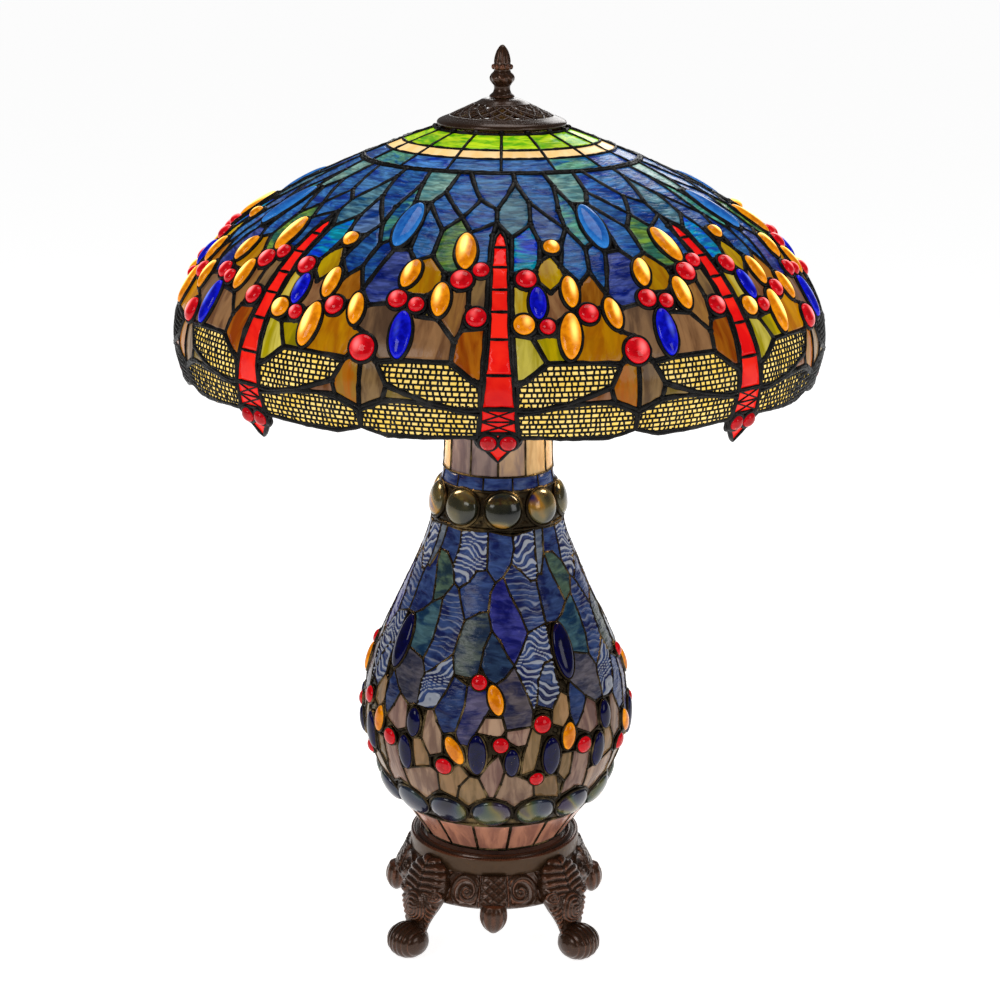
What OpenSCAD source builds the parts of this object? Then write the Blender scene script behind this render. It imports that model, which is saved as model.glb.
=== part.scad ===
// Table lamp with a leaded dragonfly shade, a lit glass body and a cast foot.
// Origin: centre of the foot on the table. +Z up, front of the lamp towards -Y. Millimetres.

/* [Shade] */
// Thickness of the sheet glass
glass_t = 2.4; // [2:0.2:3]
// Width of the copper foil and solder seen on each side of a joint
foil_w = 1.2; // [0.8:0.1:1.6]
// Inner radius of the opening in the top of the shade
crown_r = 41; // [38:1:44]

/* [Body] */
// Round cabochons under the neck
upper_cabochons = 9; // [8:1:9]
// Strips of glass round the neck
neck_strips = 12; // [10:1:14]

/* [Foot] */
// Outer radius of the plain drum
drum_r = 60.6; // [58:0.2:62]
// Distance of each ball foot from the lamp's axis
ball_at = 86; // [84:0.2:88]
// Radius of a ball foot
ball_r = 14; // [12:0.5:15]
// Radius of the cord hole in the bushing
cord_r = 3.5; // [2.5:0.1:4]

/* [Fittings] */
// Radius of the threaded stem and riser
stem_r = 4.8; // [4:0.1:5]
// Radius of a lamp bulb
bulb_r = 29; // [25:1:32]
// Upward tilt of the two sockets
socket_tilt = 15; // [0:5:25]
// Length of a pull chain
chain_l = 52; // [40:1:60]

/* [Hidden] */
$fn = 96;
round_fn = 48;
// Repeats of the glass pattern: dragonflies round the shade, and quarters of the body
shade_repeats = 8;
body_repeats = 4;
// Cabochons and panes just above the foot
lower_cabochons = 16;
repeat_deg = 360 / shade_repeats;
body_deg = 360 / body_repeats;
foil_t = glass_t + 0.8;
// Half the gap between neighbouring foils, and the same round the wings, which stand a little proud
foil_gap = 0.35;
wing_gap = 0.95;
// Play between a pane and its foil
seat = 0.05;
jewel_t = 5;
// Extra room round a jewel as a part of its half height, because long ones stand off the curve
gem_play = 0.03;
body_glass_t = 2.2;

// Outer face of the glass as [height, radius], from the top down.
SHADE = [[581.2, crown_r], [575, 60], [560, 97], [545, 130], [530, 157], [515, 179], [500, 194.5],
    [485, 206.5], [470, 215.5], [455, 220.5], [440, 221.5], [425, 218.5], [410, 212.5], [400, 207.5],
    [392, 203], [385, 199]];
BODY = [[376, 36.5], [345, 37.8], [335, 40.6], [320, 44], [300, 48.3], [280, 56], [260, 65], [240, 74.5],
    [220, 83.5], [200, 90.5], [180, 94], [165, 94.5], [150, 92], [135, 87], [120, 79.5], [105, 70], [95, 63],
    [85, 56], [76, 50]];
function run(p, i) = i == 0 ? 0 : run(p, i - 1) + norm(p[i] - p[i - 1]);
function track(p, k) = [for (i = [0:len(p) - 1]) [run(p, i), p[i][k]]];
SHADE_Z = track(SHADE, 0);
SHADE_R = track(SHADE, 1);
BODY_Z = track(BODY, 0);
BODY_R = track(BODY, 1);
shade_track = [SHADE_R, SHADE_Z];
body_track = [BODY_R, BODY_Z];

// A place on the glass: q is [degrees from the front, millimetres down the glass].
// The offset off is the height above the glass.
slope_step = 4;
function out_of(t, s) = let (a = s - slope_step, b = s + slope_step,
    d = [lookup(b, t[0]) - lookup(a, t[0]), lookup(b, t[1]) - lookup(a, t[1])]) [-d[1], d[0]] / norm(d);
function spot(t, q, off = 0) = let (n = out_of(t, q[1]), r = lookup(q[1], t[0]) + off * n[0])
    [r * sin(q[0]), -r * cos(q[0]), lookup(q[1], t[1]) + off * n[1]];
function outward(t, q) = let (n = out_of(t, q[1])) [n[0] * sin(q[0]), -n[0] * cos(q[0]), n[1]];
function along(q) = [cos(q[0]), sin(q[0]), 0];
function mean(p) = [for (k = [0:len(p[0]) - 1]) [for (v = p) v[k]] * [for (v = p) 1] / len(p)];

// Flat outlines: area with its sign, and the same outline moved in by d on every side.
function area2(p) = let (n = len(p)) [for (i = [0:n - 1]) cross(p[i], p[(i + 1) % n])] * [for (v = p) 1];
function ccw(p) = area2(p) > 0 ? p : [for (i = [len(p) - 1:-1:0]) p[i]];
function unit(v) = v / norm(v);
function left_of(v) = [-v[1], v[0]];
function moved_in(p, d) = let (n = len(p)) [for (i = [0:n - 1])
    let (a = left_of(unit(p[i] - p[(i + n - 1) % n])), b = left_of(unit(p[(i + 1) % n] - p[i])))
        p[i] + d * (a + b) / max(1 + a * b, 0.5)];

// Corners of one repeat of the shade's glass, then its panes as lists of corners.
// A corner number of 200 or more is the same corner in the next repeat.
SHADE_AT = [[-16, 56.6], [-11.5, 56.6], [4.8, 56.6], [16.5, 56.6], [-17.3, 80], [-5.7, 88], [4.9, 66],
    [17.8, 72], [-20, 93], [20.3, 93], [-9.7, 107], [-0.9, 98], [8.2, 90], [15.6, 100], [-0.9, 111],
    [15.6, 118], [-13.6, 120], [-6.8, 121.5], [-1.8, 124], [7.3, 113], [2.6, 126], [13.6, 130], [8.7, 131],
    [18.4, 137], [-13.9, 144], [-19.2, 140], [-10.6, 158], [-6.8, 157], [-5.2, 159.5], [-2.2, 150],
    [-2.2, 187], [2.2, 157], [6.8, 155.5], [8, 147], [12, 152], [14.9, 165], [17.4, 157], [19.5, 174],
    [22.4, 141], [21.6, 184], [-19.7, 181.5], [-17.2, 149], [-18, 171.5], [20.6, 132], [-10.6, 166],
    [-13, 175], [-16.3, 175], [-5.4, 181.5], [-5.6, 169], [-6.2, 197], [-7.3, 204.5], [-10.3, 191],
    [-7.6, 170], [-14.2, 189], [-7.6, 217.5], [-16.3, 187], [-16.3, 217.5], [-2.2, 195.5], [-2.6, 229],
    [-3.9, 228.5], [-19.8, 219], [22.6, 203], [20.5, 199], [2.2, 165], [4.9, 168.5], [6.7, 168], [6.7, 190],
    [2.2, 188], [2.2, 199.5], [5.4, 201.5], [7.6, 217.5], [3.9, 228.5], [2.6, 229], [8.2, 200], [11.7, 201],
    [11.2, 217.5], [10.4, 141.5], [12.6, 160.5], [9.2, 171.5], [7.2, 164], [12.8, 183.5], [12, 186.5],
    [9.6, 192], [18, 183], [19.8, 219], [22.6, 215], [22.6, 248.5], [18.4, 242], [17.8, 233.5],
    [-22.4, 215], [-22.4, 248.5], [-18.4, 242], [-17.8, 233.5], [10.8, 242.6], [-10.8, 242.6]];
SKY = [[3, 7, 9, 208, 204, 200], [0, 1, 5, 10, 4], [1, 2, 6, 11, 5], [2, 3, 7, 13, 15, 12, 6],
    [6, 12, 19, 20, 14, 11], [4, 10, 16, 8], [5, 11, 14, 17, 10], [10, 17, 27, 26, 24, 16],
    [14, 18, 29, 28, 27, 17], [20, 19, 22, 33, 32, 31], [12, 15, 21, 22, 19], [7, 9, 43, 23, 15, 13],
    [15, 23, 36, 35, 34, 21], [23, 43, 38, 37, 36], [38, 225, 241, 242, 240, 39, 37], [8, 16, 24, 41, 25]];
EARTH = [[24, 26, 44, 45, 46, 42, 41], [28, 29, 30, 47, 48], [48, 47, 49, 50, 51, 44, 52],
    [45, 53, 51, 50, 54, 56, 55], [49, 57, 58, 59, 54, 50], [39, 240, 255, 256, 260, 61, 62, 37],
    [63, 64, 65, 66, 67], [68, 69, 70, 71, 72], [69, 73, 74, 75, 70], [76, 34, 77, 78, 79, 32, 33],
    [78, 77, 80, 81, 82, 66, 65, 79], [35, 36, 37, 83, 80], [81, 83, 62, 61, 84, 75],
    [84, 85, 86, 87, 88], [60, 89, 90, 91, 92], [88, 87, 93], [92, 91, 94]];
// Jewels as [degrees, down the glass, half width, half height, lean].
BLUE_OVALS = [[22.6, 117.5, 7.2, 21.5, 0]];
AMBER = [[-7.1, 139.5, 6.3, 15.5, -5], [-17, 160, 5.3, 10.5, 12], [-10.4, 177.5, 5.6, 11.5, 0],
    [10.9, 136, 5, 5.4, 0], [12.7, 171.5, 5, 11, 0], [19.7, 187.5, 5, 10.5, -8], [11.7, 201, 6.4, 14.5, 5],
    [4.1, 193.5, 6.4, 6.4, 0]];
RED = [[-7.1, 163, 6.7, 6.7, 0], [-3.6, 155.5, 5, 5, 0], [4.9, 162, 6.2, 6.2, 0], [-3.9, 189, 6.2, 6.2, 0],
    [8, 195, 4.7, 4.7, 0], [15.3, 187, 6.1, 6.1, 0], [-18.1, 179, 5.9, 5.9, 0], [-14.5, 182, 4.8, 4.8, 0],
    [22.6, 212, 8, 8, 0]];
COBALT = [[6.7, 179, 5, 10.8, 0], [-16.3, 202, 6.5, 15, 0]];
SHADE_JEWELS = concat(BLUE_OVALS, AMBER, RED, COBALT);
// The right-hand wings, and the tail's joints as [down the glass, half width in degrees].
UPPER_WING = [[2.9, 231], [4.2, 228.7], [7.8, 218], [12, 217.7], [17, 218.8], [19.5, 220.6], [17.8, 232.5],
    [11, 242], [5, 246.3], [2.9, 246]];
LOWER_WING = [[2.9, 249], [5, 247.6], [11, 243.6], [15, 242.4], [18.3, 243.4], [22.3, 250.5], [22.3, 262],
    [18, 266.5], [12, 266], [7, 264.5], [3.3, 264]];
TAIL = [[122, 1.1], [135, 1.5], [152, 1.6], [169, 1.6], [184.5, 1.6], [202.5, 1.6], [224.5, 2.1],
    [244.5, 2.6]];
THORAX = [[-2.7, 245.5], [2.7, 245.5], [2.9, 261], [-2.9, 261]];
HEAD = [[-2.9, 261.6], [2.9, 261.6], [4, 264], [0, 283], [-4, 264]];
EYES = [[-1.6, 267.3, 4.9, 4.9, 0], [1.6, 267.3, 4.9, 4.9, 0]];

// The same for one repeat of the body's glass.
BODY_AT = [[-57, 66], [-48, 66], [-32, 67], [-8, 66], [13, 69], [-51, 83], [-57, 97], [-60, 97], [-42, 84],
    [-34, 92], [-49, 95], [-30, 104], [-36, 115], [-43, 119.5], [-45, 109], [-49, 127], [-54.5, 131.5],
    [-61, 131], [-62, 101], [-31.5, 78], [-7.4, 92.5], [-15, 94], [-19, 101], [-26, 107], [13.5, 78],
    [10.7, 88], [4.5, 97], [-1, 101], [17, 93], [24, 101], [9, 110], [14, 122], [17.5, 136], [-4, 108],
    [-5, 121], [-10, 122], [-18.5, 128], [13, 148], [9, 158], [6, 152], [2, 141], [-2.5, 134], [-20.5, 140],
    [-22, 152], [-29.5, 162], [-35, 168.5], [-38, 159], [-35.3, 145], [-35, 128], [-54.5, 151.5],
    [-54.5, 172.5], [-36, 173], [-36, 190.5], [-41, 192], [-46.5, 186], [-19.8, 166], [-9, 167.5],
    [-7.5, 158], [-6.3, 146], [-4.5, 167], [0, 170.5], [4.5, 166], [14, 177], [16.5, 190], [15.5, 200],
    [4.5, 202], [3, 193], [24, 158], [20, 168], [18, 186], [29, 156], [29.2, 168], [30, 178], [25, 190],
    [-23, 179], [-27.5, 191], [-31, 192], [-13, 172], [-13.5, 186], [-17, 205], [-22.5, 207], [-25.5, 199],
    [-4.5, 193], [-8, 204], [-10.5, 214], [-15.5, 213], [-49.5, 196], [-54, 206], [-56.5, 196], [-56.5, 182],
    [-7.5, 169.5], [0, 181], [-40.7, 209], [-46, 213], [-22.5, 221], [-28.5, 225], [-32.5, 213],
    [-28.5, 233], [-37, 237], [-37, 214], [-61, 222], [-55.5, 222], [-55.5, 240], [-57.5, 246], [-62, 238],
    [-46, 222], [-45, 241], [-44, 257], [-50, 254.5], [-57.5, 260], [-25.5, 237], [-26, 253], [-30, 258],
    [-35.5, 266], [-15, 228], [-11, 237], [-16, 247], [-18, 259], [-7, 238], [-3, 255.5], [-8, 259.5],
    [-13, 266.5], [1.5, 219], [4.2, 232], [2.6, 243], [-0.3, 256], [-3.5, 228], [12, 238], [17, 243],
    [18.5, 256], [13, 260.5], [9.7, 266.5], [5, 260], [24, 238], [28, 239], [32.5, 262], [28, 259.5],
    [20, 206], [18.5, 222], [17, 233], [11, 236], [11.5, 222], [13, 213], [9, 214], [4.5, 209], [2.3, 207],
    [-2, 206], [33.5, 182], [33.5, 196], [30, 204], [24.5, 200]];
RIPPLE = [[0, 1, 5, 6, 7], [1, 2, 19, 9, 8, 5], [5, 8, 9, 11, 12, 13, 14, 10],
    [7, 6, 5, 10, 14, 13, 15, 16, 17, 18], [2, 3, 20, 21, 22, 23, 11, 9, 19], [3, 4, 24, 25, 26, 27, 20],
    [4, 200, 207, 218, 29, 28, 25, 24], [25, 28, 29, 218, 217, 32, 31, 30, 26],
    [21, 20, 27, 33, 34, 35, 36, 23, 22], [27, 26, 30, 31, 32, 37, 38, 39, 40, 41, 34, 33],
    [11, 23, 36, 42, 43, 44, 45, 46, 47, 48, 12], [13, 12, 48, 47, 46, 49, 16, 15],
    [49, 46, 45, 51, 52, 53, 54, 50], [34, 41, 58, 57, 56, 55, 43, 42, 36, 35],
    [41, 40, 39, 38, 61, 60, 59, 57, 58], [32, 217, 70, 67, 68, 69, 63, 62, 38, 37],
    [67, 70, 71, 72, 73, 69, 68], [44, 43, 55, 74, 75, 76, 52, 51, 45], [38, 62, 63, 64, 65, 66, 60, 61],
    [55, 77, 78, 79, 80, 81, 75, 74], [77, 90, 91, 82, 83, 84, 85, 79, 78], [50, 54, 86, 87, 88, 89]];
BROWN = [[54, 53, 92, 93, 87, 86], [76, 75, 81, 80, 94, 95, 96], [96, 95, 97, 98, 99],
    [100, 101, 102, 103, 104], [101, 105, 106, 107, 108, 109, 103, 102], [98, 97, 110, 111, 112, 113, 107, 106],
    [110, 114, 115, 116, 117, 111], [115, 118, 119, 120, 121, 117, 116], [122, 123, 124, 125, 119, 118, 126],
    [123, 127, 128, 129, 130, 131, 132, 125, 124], [128, 133, 134, 135, 136, 129],
    [64, 137, 138, 139, 140, 141, 142], [65, 64, 142, 143, 144], [82, 66, 65, 145, 146, 83],
    [72, 147, 148, 149, 150, 73]];
BODY_COBALT = [[-54.5, 151.5, 7.2, 19.5, 0], [-36.5, 203, 5.5, 10, 0], [-41, 226.5, 5.6, 12.5, 0],
    [-7.5, 219.5, 6.2, 14, 0], [7, 225, 5, 10, 0], [24, 222.5, 6.2, 13.5, 0]];
BODY_RED = [[-7.5, 169.5, 5.2, 5.2, 0], [2.3, 212, 5.2, 5.2, 0], [20, 199, 6, 6, 0], [-22, 230.5, 5.8, 5.8, 0],
    [18, 239, 4.8, 4.8, 0], [-50, 219, 5.8, 5.8, 0]];
BODY_AMBER = [[0, 181, 5, 10.5, -15], [-17, 217.5, 5, 10.5, -30], [-58, 210, 5, 9.5, 8]];
BODY_JEWELS = concat(BODY_COBALT, BODY_RED, BODY_AMBER);

function corner(at, i, step) = i < 200 ? at[i] : at[i - 200] + [step, 0];
function corners(at, list, step) = [for (i = list) corner(at, i, step)];
function mirrored(p) = [for (q = p) [-q[0], q[1]]];
function turned(j, a) = [j[0] + a, j[1], j[2], j[3], j[4]];
// Jewels near an outline, with those of the neighbouring repeats.
near_deg = 14;
near_mm = 46;
function close_by(jewels, q, step, wide) = [for (j = jewels, k = [-1:1]) let (g = turned(j, k * step))
    if (abs(g[0] - q[0]) < wide && abs(g[1] - q[1]) < near_mm) g];

// Stands flat work on the glass at q: X along the ring, Y up the glass, Z outwards.
module on_glass(t, q, off = 0) {
    n = outward(t, q);
    x = along(q);
    y = cross(n, x);
    p = spot(t, q, off);
    multmatrix([[x[0], y[0], n[0], p[0]], [x[1], y[1], n[1], p[1]], [x[2], y[2], n[2], p[2]], [0, 0, 0, 1]])
        children();
}

// One pane's flat outline, moved in by d, with the jewels near it cut out at clearance g.
module pane_shape(t, outline, q, jewels, d, g) {
    n = outward(t, q);
    x = along(q);
    y = cross(n, x);
    origin = spot(t, q);
    flat = [for (v = outline) let (w = spot(t, v) - origin) [w * x, w * y]];
    difference() {
        polygon(moved_in(ccw(flat), d));
        for (j = jewels) {
            w = spot(t, j) - origin;
            play = g + gem_play * j[3];
            translate([w * x, w * y]) gem(j[2] + play, j[3] + (j[2] == j[3] ? play : 2 * play), j[4]);
        }
    }
}

// How far the corners of an outline lie below the tangent plane at its middle, on average.
function sink(t, outline, q) = let (n = outward(t, q), o = spot(t, q))
    mean([for (v = outline) [(spot(t, v) - o) * n]])[0];

module pane(t, outline, jewels, step, wide, thick, gap = foil_gap) {
    q = mean(outline);
    on_glass(t, q, sink(t, outline, q) - thick) linear_extrude(thick)
        pane_shape(t, outline, q, close_by(jewels, q, step, wide), foil_w + gap + seat, foil_w + seat);
}

module pane_foil(t, outline, jewels, step, wide, thick, gap = foil_gap) {
    q = mean(outline);
    near = close_by(jewels, q, step, wide);
    on_glass(t, q, sink(t, outline, q) - (thick + glass_t) / 2) linear_extrude(thick) difference() {
        pane_shape(t, outline, q, near, gap, gap);
        pane_shape(t, outline, q, near, foil_w + gap, foil_w);
    }
}

// A round gem, or a long one bounded by two arcs. lean turns its top towards the right.
module gem(half_w, half_h, lean) {
    if (half_w == half_h) circle(half_w, $fn = 32);
    else {
        arc_r = (half_w * half_w + half_h * half_h) / (2 * half_w);
        rotate(-lean) intersection() {
            translate([arc_r - half_w, 0]) circle(arc_r);
            translate([half_w - arc_r, 0]) circle(arc_r);
        }
    }
}

module round_all(n) {
    for (i = [0:n - 1]) rotate([0, 0, 360 * i / n]) children();
}

// A cabochon: a straight girdle under a smaller crown. Round ones are turned, ovals are stepped.
module jewel(t, j) {
    on_glass(t, j, -jewel_t / 2) {
        if (j[2] == j[3]) rotate_extrude($fn = 32) polygon([[0, 0], [j[2] - 0.2, 0],
            [j[2] - 0.2, jewel_t * 0.5], [j[2] * 0.8, jewel_t * 0.85], [j[2] * 0.45, jewel_t],
            [0, jewel_t]]);
        else {
            linear_extrude(jewel_t * 0.6) gem(j[2] - 0.2, j[3] - 0.3, j[4]);
            linear_extrude(jewel_t) gem(j[2] * 0.7, j[3] * 0.75, j[4]);
        }
    }
}

// A strip of constant depth between two places down the glass, turned all round.
function skin(t, s0, s1, lift, depth, n) = concat(
    [for (i = [0:n]) let (s = s0 + (s1 - s0) * i / n, o = out_of(t, s))
        [lookup(s, t[0]) + lift * o[0], lookup(s, t[1]) + lift * o[1]]],
    [for (i = [n:-1:0]) let (s = s0 + (s1 - s0) * i / n, o = out_of(t, s))
        [lookup(s, t[0]) + (lift - depth) * o[0], lookup(s, t[1]) + (lift - depth) * o[1]]]);

module skin_ring(t, s0, s1, lift, depth, n) {
    rotate_extrude() polygon(skin(t, s0, s1, lift, depth, n));
}

module skin_cell(t, s0, s1, a, wide, lift, depth, n) {
    rotate([0, 0, a - wide / 2 - 90]) rotate_extrude(angle = wide) polygon(skin(t, s0, s1, lift, depth, n));
}

// ---------------- foot ----------------
drum_top = 72.5;
drum_low = 60.5;
skirt_low = 40;
skirt_out = 69;
seat_r = 50.6;
plate_z = 50;
inlet_z = 66;
volute_x = 20;

module base_casting() {
    color("saddlebrown") difference() {
        union() {
            rotate_extrude() polygon([[seat_r, 66], [56.5, 66], [56.5, drum_low - 1], [52, skirt_low + 8],
                [64, skirt_low], [skirt_out, skirt_low], [skirt_out - 1, skirt_low + 4], [62, drum_low - 2],
                [59.5, drum_low], [drum_r, drum_low + 0.5], [drum_r, drum_top - 0.5], [drum_r - 1, drum_top],
                [57.6, drum_top], [56.6, drum_top - 1], [55.6, drum_top], [54.6, 76], [53.4, 76.6],
                [52.2, 76], [seat_r, 73]]);
            volutes();
        }
        rotate_extrude() polygon([[0, 0], [63.5, 0], [63.5, skirt_low - 1], [51, skirt_low + 8],
            [51, drum_low - 2], [56, drum_low - 1], [56, 66], [0, 66]]);
        translate([0, 40, inlet_z]) rotate([-90, 0, 0]) cylinder(r = 5.5, h = 40, $fn = round_fn);
        round_all(4) rotate([0, 0, 45]) translate([0, -60, 30]) leg_room();
    }
}

// Pairs of round bosses on each side, where the scrolls are.
module volutes() {
    round_all(4) for (s = [-1, 1]) translate([s * volute_x, -63.5, 52]) rotate([62, 0, s * 14])
        cylinder(r = 9.5, h = 8, $fn = round_fn);
}

// A tongue on the middle of each side, ending in a round pendant below the skirt.
// The one at the back is cut away above, so that the cord can pass.
module foot_pendants() {
    color("saddlebrown") difference() {
        round_all(4) {
            translate([0, -68, skirt_low - 1]) rotate([-18, 0, 0]) cylinder(r = 9.2, h = 23, $fn = round_fn);
            translate([0, -skirt_out - 0.5, 36.5]) sphere(r = 9.6, $fn = round_fn);
        }
        rotate_extrude() polygon([[0, skirt_low], [skirt_out, skirt_low], [skirt_out - 1, skirt_low + 4],
            [62, drum_low - 2], [59.5, drum_low], [drum_r, drum_low + 0.5], [drum_r, drum_top], [0, drum_top]]);
        volutes();
        translate([0, 56, inlet_z]) rotate([-90, 0, 0]) cylinder(r = 9.6, h = 30, $fn = round_fn);
    }
}

// The room that a leg's root takes out of the skirt.
module leg_room() {
    translate([-13.1, -30, 0]) cube([26.2, 40, 32]);
}

// One leg on its diagonal, pointing to -Y: shoulder, knee and shank in profile, then the ball foot.
module leg() {
    color("saddlebrown") {
        rotate([90, 0, 90]) translate([0, 0, -12.8]) linear_extrude(25.6) polygon([[-52.2, 52], [-52.2, 58.5],
            [-57, 61], [-63, 61.8], [-69, 61], [-73, 56], [-76.5, 48], [-79, 42], [-80, 36], [-79.5, 31],
            [-68, 33], [-64, 40], [-60, 46]]);
        rotate([90, 0, 90]) translate([0, 0, -9]) linear_extrude(18) polygon([[-70, 34], [-79.5, 32],
            [-80, 26], [-84, 18], [-76, 18], [-72, 25]]);
        translate([0, -72, 35.5]) rotate([85, 0, 0]) cylinder(r = 11, h = 11.5, $fn = round_fn);
        intersection() {
            translate([0, -ball_at, ball_r]) sphere(r = ball_r, $fn = round_fn);
            translate([-20, -ball_at - 20, 0.4]) cube([40, 40, 40]);
        }
        translate([0, -ball_at, 0]) cylinder(r = 3.4, h = 1, $fn = round_fn);
    }
}

module leg_front_right() { rotate([0, 0, 45]) leg(); }
module leg_front_left() { rotate([0, 0, -45]) leg(); }
module leg_back_right() { rotate([0, 0, 135]) leg(); }
module leg_back_left() { rotate([0, 0, -135]) leg(); }

module cord_bushing() {
    color("dimgray") translate([0, 54, inlet_z]) rotate([-90, 0, 0]) rotate_extrude($fn = round_fn)
        polygon([[cord_r, 0], [5.45, 0], [5.45, 7.4], [7, 7.4], [6.6, 9.5], [5, 10.5], [cord_r, 10.5]]);
}

module bottom_plate() {
    color("dimgray") translate([0, 0, plate_z]) difference() {
        cylinder(r = 50, h = 1.6);
        translate([0, 0, -1]) cylinder(r = stem_r + 0.4, h = 4, $fn = round_fn);
        round_all(4) translate([0, -40, -1]) cylinder(r = 2.2, h = 4, $fn = round_fn);
    }
}

module plate_screws() {
    color("silver") round_all(4) translate([0, -40, plate_z]) {
        translate([0, 0, -2]) cylinder(r = 3.6, h = 2, $fn = round_fn);
        translate([0, 0, -1]) cylinder(r = 1.9, h = 9, $fn = round_fn);
    }
}

// ---------------- stem and night light ----------------
stem_low = 40;
body_top = 376;
cluster_z = 430;

module stem_tube() {
    color("goldenrod") translate([0, 0, stem_low]) difference() {
        cylinder(r = stem_r, h = cluster_z - 12 - stem_low, $fn = round_fn);
        translate([0, 0, -1]) cylinder(r = stem_r - 1.3, h = cluster_z - stem_low, $fn = round_fn);
    }
}

module stem_nuts() {
    color("goldenrod") {
        for (z = [plate_z - 6.2, body_top + 4]) translate([0, 0, z]) difference() {
            cylinder(r = 9, h = 6, $fn = 6);
            translate([0, 0, -1]) cylinder(r = stem_r + 0.05, h = 8, $fn = round_fn);
        }
        translate([0, 0, 69.5]) difference() {
            cylinder(r = 49.5, h = 1.6);
            translate([0, 0, -1]) cylinder(r = stem_r + 0.05, h = 4, $fn = round_fn);
            round_all(4) rotate([0, 0, 20]) translate([0, -28, -1]) cylinder(r = 8, h = 4, $fn = round_fn);
        }
    }
}

night_y = -30;
night_z = 168;

module night_light_bracket() {
    color("goldenrod") translate([0, 0, night_z - 4]) difference() {
        union() {
            cylinder(r = 9, h = 3, $fn = round_fn);
            translate([-6, night_y - 6, 0]) cube([12, -night_y, 3]);
        }
        translate([0, 0, -1]) cylinder(r = stem_r + 0.05, h = 6, $fn = round_fn);
    }
}

module night_light_socket() {
    color("ivory") translate([0, night_y, night_z - 1]) difference() {
        cylinder(r = 8.5, h = 24, $fn = round_fn);
        translate([0, 0, 3]) cylinder(r = 6.6, h = 30, $fn = round_fn);
    }
}

module night_light_bulb() {
    color("lightyellow") translate([0, night_y, night_z + 4]) rotate_extrude($fn = round_fn) polygon([[0, 0],
        [3, 0], [6, 4], [6, 20], [7.5, 25], [11, 33], [12.5, 42], [11, 52], [6, 60], [1.5, 66], [0, 66.5]]);
}

// ---------------- glass body ----------------
neck_s = [3, 28.4];
band_s = [30, 37];
cabochon_s = 51.5;
lower_s = 271.5;
foot_s = [289, 319];

module neck_panes() {
    color("bisque") for (i = [0:neck_strips - 1]) skin_cell(body_track, neck_s[0], neck_s[1],
        360 * (i + 0.5) / neck_strips, 360 / neck_strips - 3.6, 0, body_glass_t, 3);
}

module neck_band_panes() {
    color("steelblue") for (i = [0:neck_strips - 1]) skin_cell(body_track, band_s[0], band_s[1],
        360 * i / neck_strips, 360 / neck_strips - 3.6, 0, body_glass_t, 2);
}

module cabochon(t, a, s, r, rise) {
    on_glass(t, [a, s], -2) rotate_extrude($fn = 40) polygon([[0, 0], [r, 0], [r, 2],
        [r * 0.9, 2 + rise * 0.45], [r * 0.6, 2 + rise * 0.85], [0, 2 + rise]]);
}

module upper_cabochon_ring() {
    color("darkkhaki") for (i = [0:upper_cabochons - 1]) cabochon(body_track, 5 + 360 * i / upper_cabochons,
        cabochon_s, 12.4, 6);
}

module lower_cabochon_ring() {
    color("slategray") for (i = [0:lower_cabochons - 1]) cabochon(body_track,
        -1.5 + 360 * i / lower_cabochons, lower_s, 12.6, 6);
}

module body_set(panes) {
    round_all(body_repeats) for (p = panes) pane(body_track, corners(BODY_AT, p, body_deg), BODY_JEWELS,
        body_deg, 34, body_glass_t);
}

module body_ripple_panes() { color("slateblue") body_set(RIPPLE); }
module body_brown_panes() { color("rosybrown") body_set(BROWN); }

module body_foot_panes() {
    color("rosybrown") for (i = [0:lower_cabochons - 1]) skin_cell(body_track, foot_s[0], foot_s[1],
        -1.5 + 360 * i / lower_cabochons, 360 / lower_cabochons - 2.6, 0, body_glass_t, 4);
}

module jewel_set(t, n, jewels) {
    round_all(n) for (j = jewels) jewel(t, j);
}

module body_cobalt_jewels() { color("navy") jewel_set(body_track, body_repeats, BODY_COBALT); }
module body_red_jewels() { color("crimson") jewel_set(body_track, body_repeats, BODY_RED); }
module body_amber_jewels() { color("orange") jewel_set(body_track, body_repeats, BODY_AMBER); }

module ripple_foil() {
    color("darkolivegreen") round_all(body_repeats) for (p = RIPPLE) pane_foil(body_track,
        corners(BODY_AT, p, body_deg), BODY_JEWELS, body_deg, 34, body_glass_t + 0.8);
}

module body_band_came() {
    color("darkolivegreen") {
        skin_ring(body_track, 28.5, 29.9, 0.6, 3.2, 1);
        skin_ring(body_track, 37.1, 38.4, 0.6, 3.2, 1);
        skin_ring(body_track, 64.6, 65.9, 0.6, 3.2, 1);
        skin_ring(body_track, 286.6, 288.9, 0.6, 3.2, 1);
        skin_ring(body_track, 319.1, 321.5, 0.6, 3.2, 1);
    }
}

module vase_cap() {
    color("darkgoldenrod") difference() {
        rotate_extrude() polygon([[0, body_top + 4], [34, body_top + 4], [38.6, body_top + 2.5],
            [39.2, body_top - 2], [37.4, body_top - 2.4], [37, body_top + 0.4], [33, body_top + 1.6],
            [0, body_top + 1.6]]);
        translate([0, 0, body_top]) cylinder(r = stem_r + 0.05, h = 8, $fn = round_fn);
        round_all(3) translate([0, -22, body_top]) cylinder(r = 4, h = 8, $fn = round_fn);
    }
}

// ---------------- sockets, bulbs and chains ----------------
socket_l = 38;
chain_x = 44;

// Work built along +Z, laid along the arm on side s.
module on_arm(s) {
    translate([0, 0, cluster_z]) rotate([0, s * (90 - socket_tilt), 0]) children();
}

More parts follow.
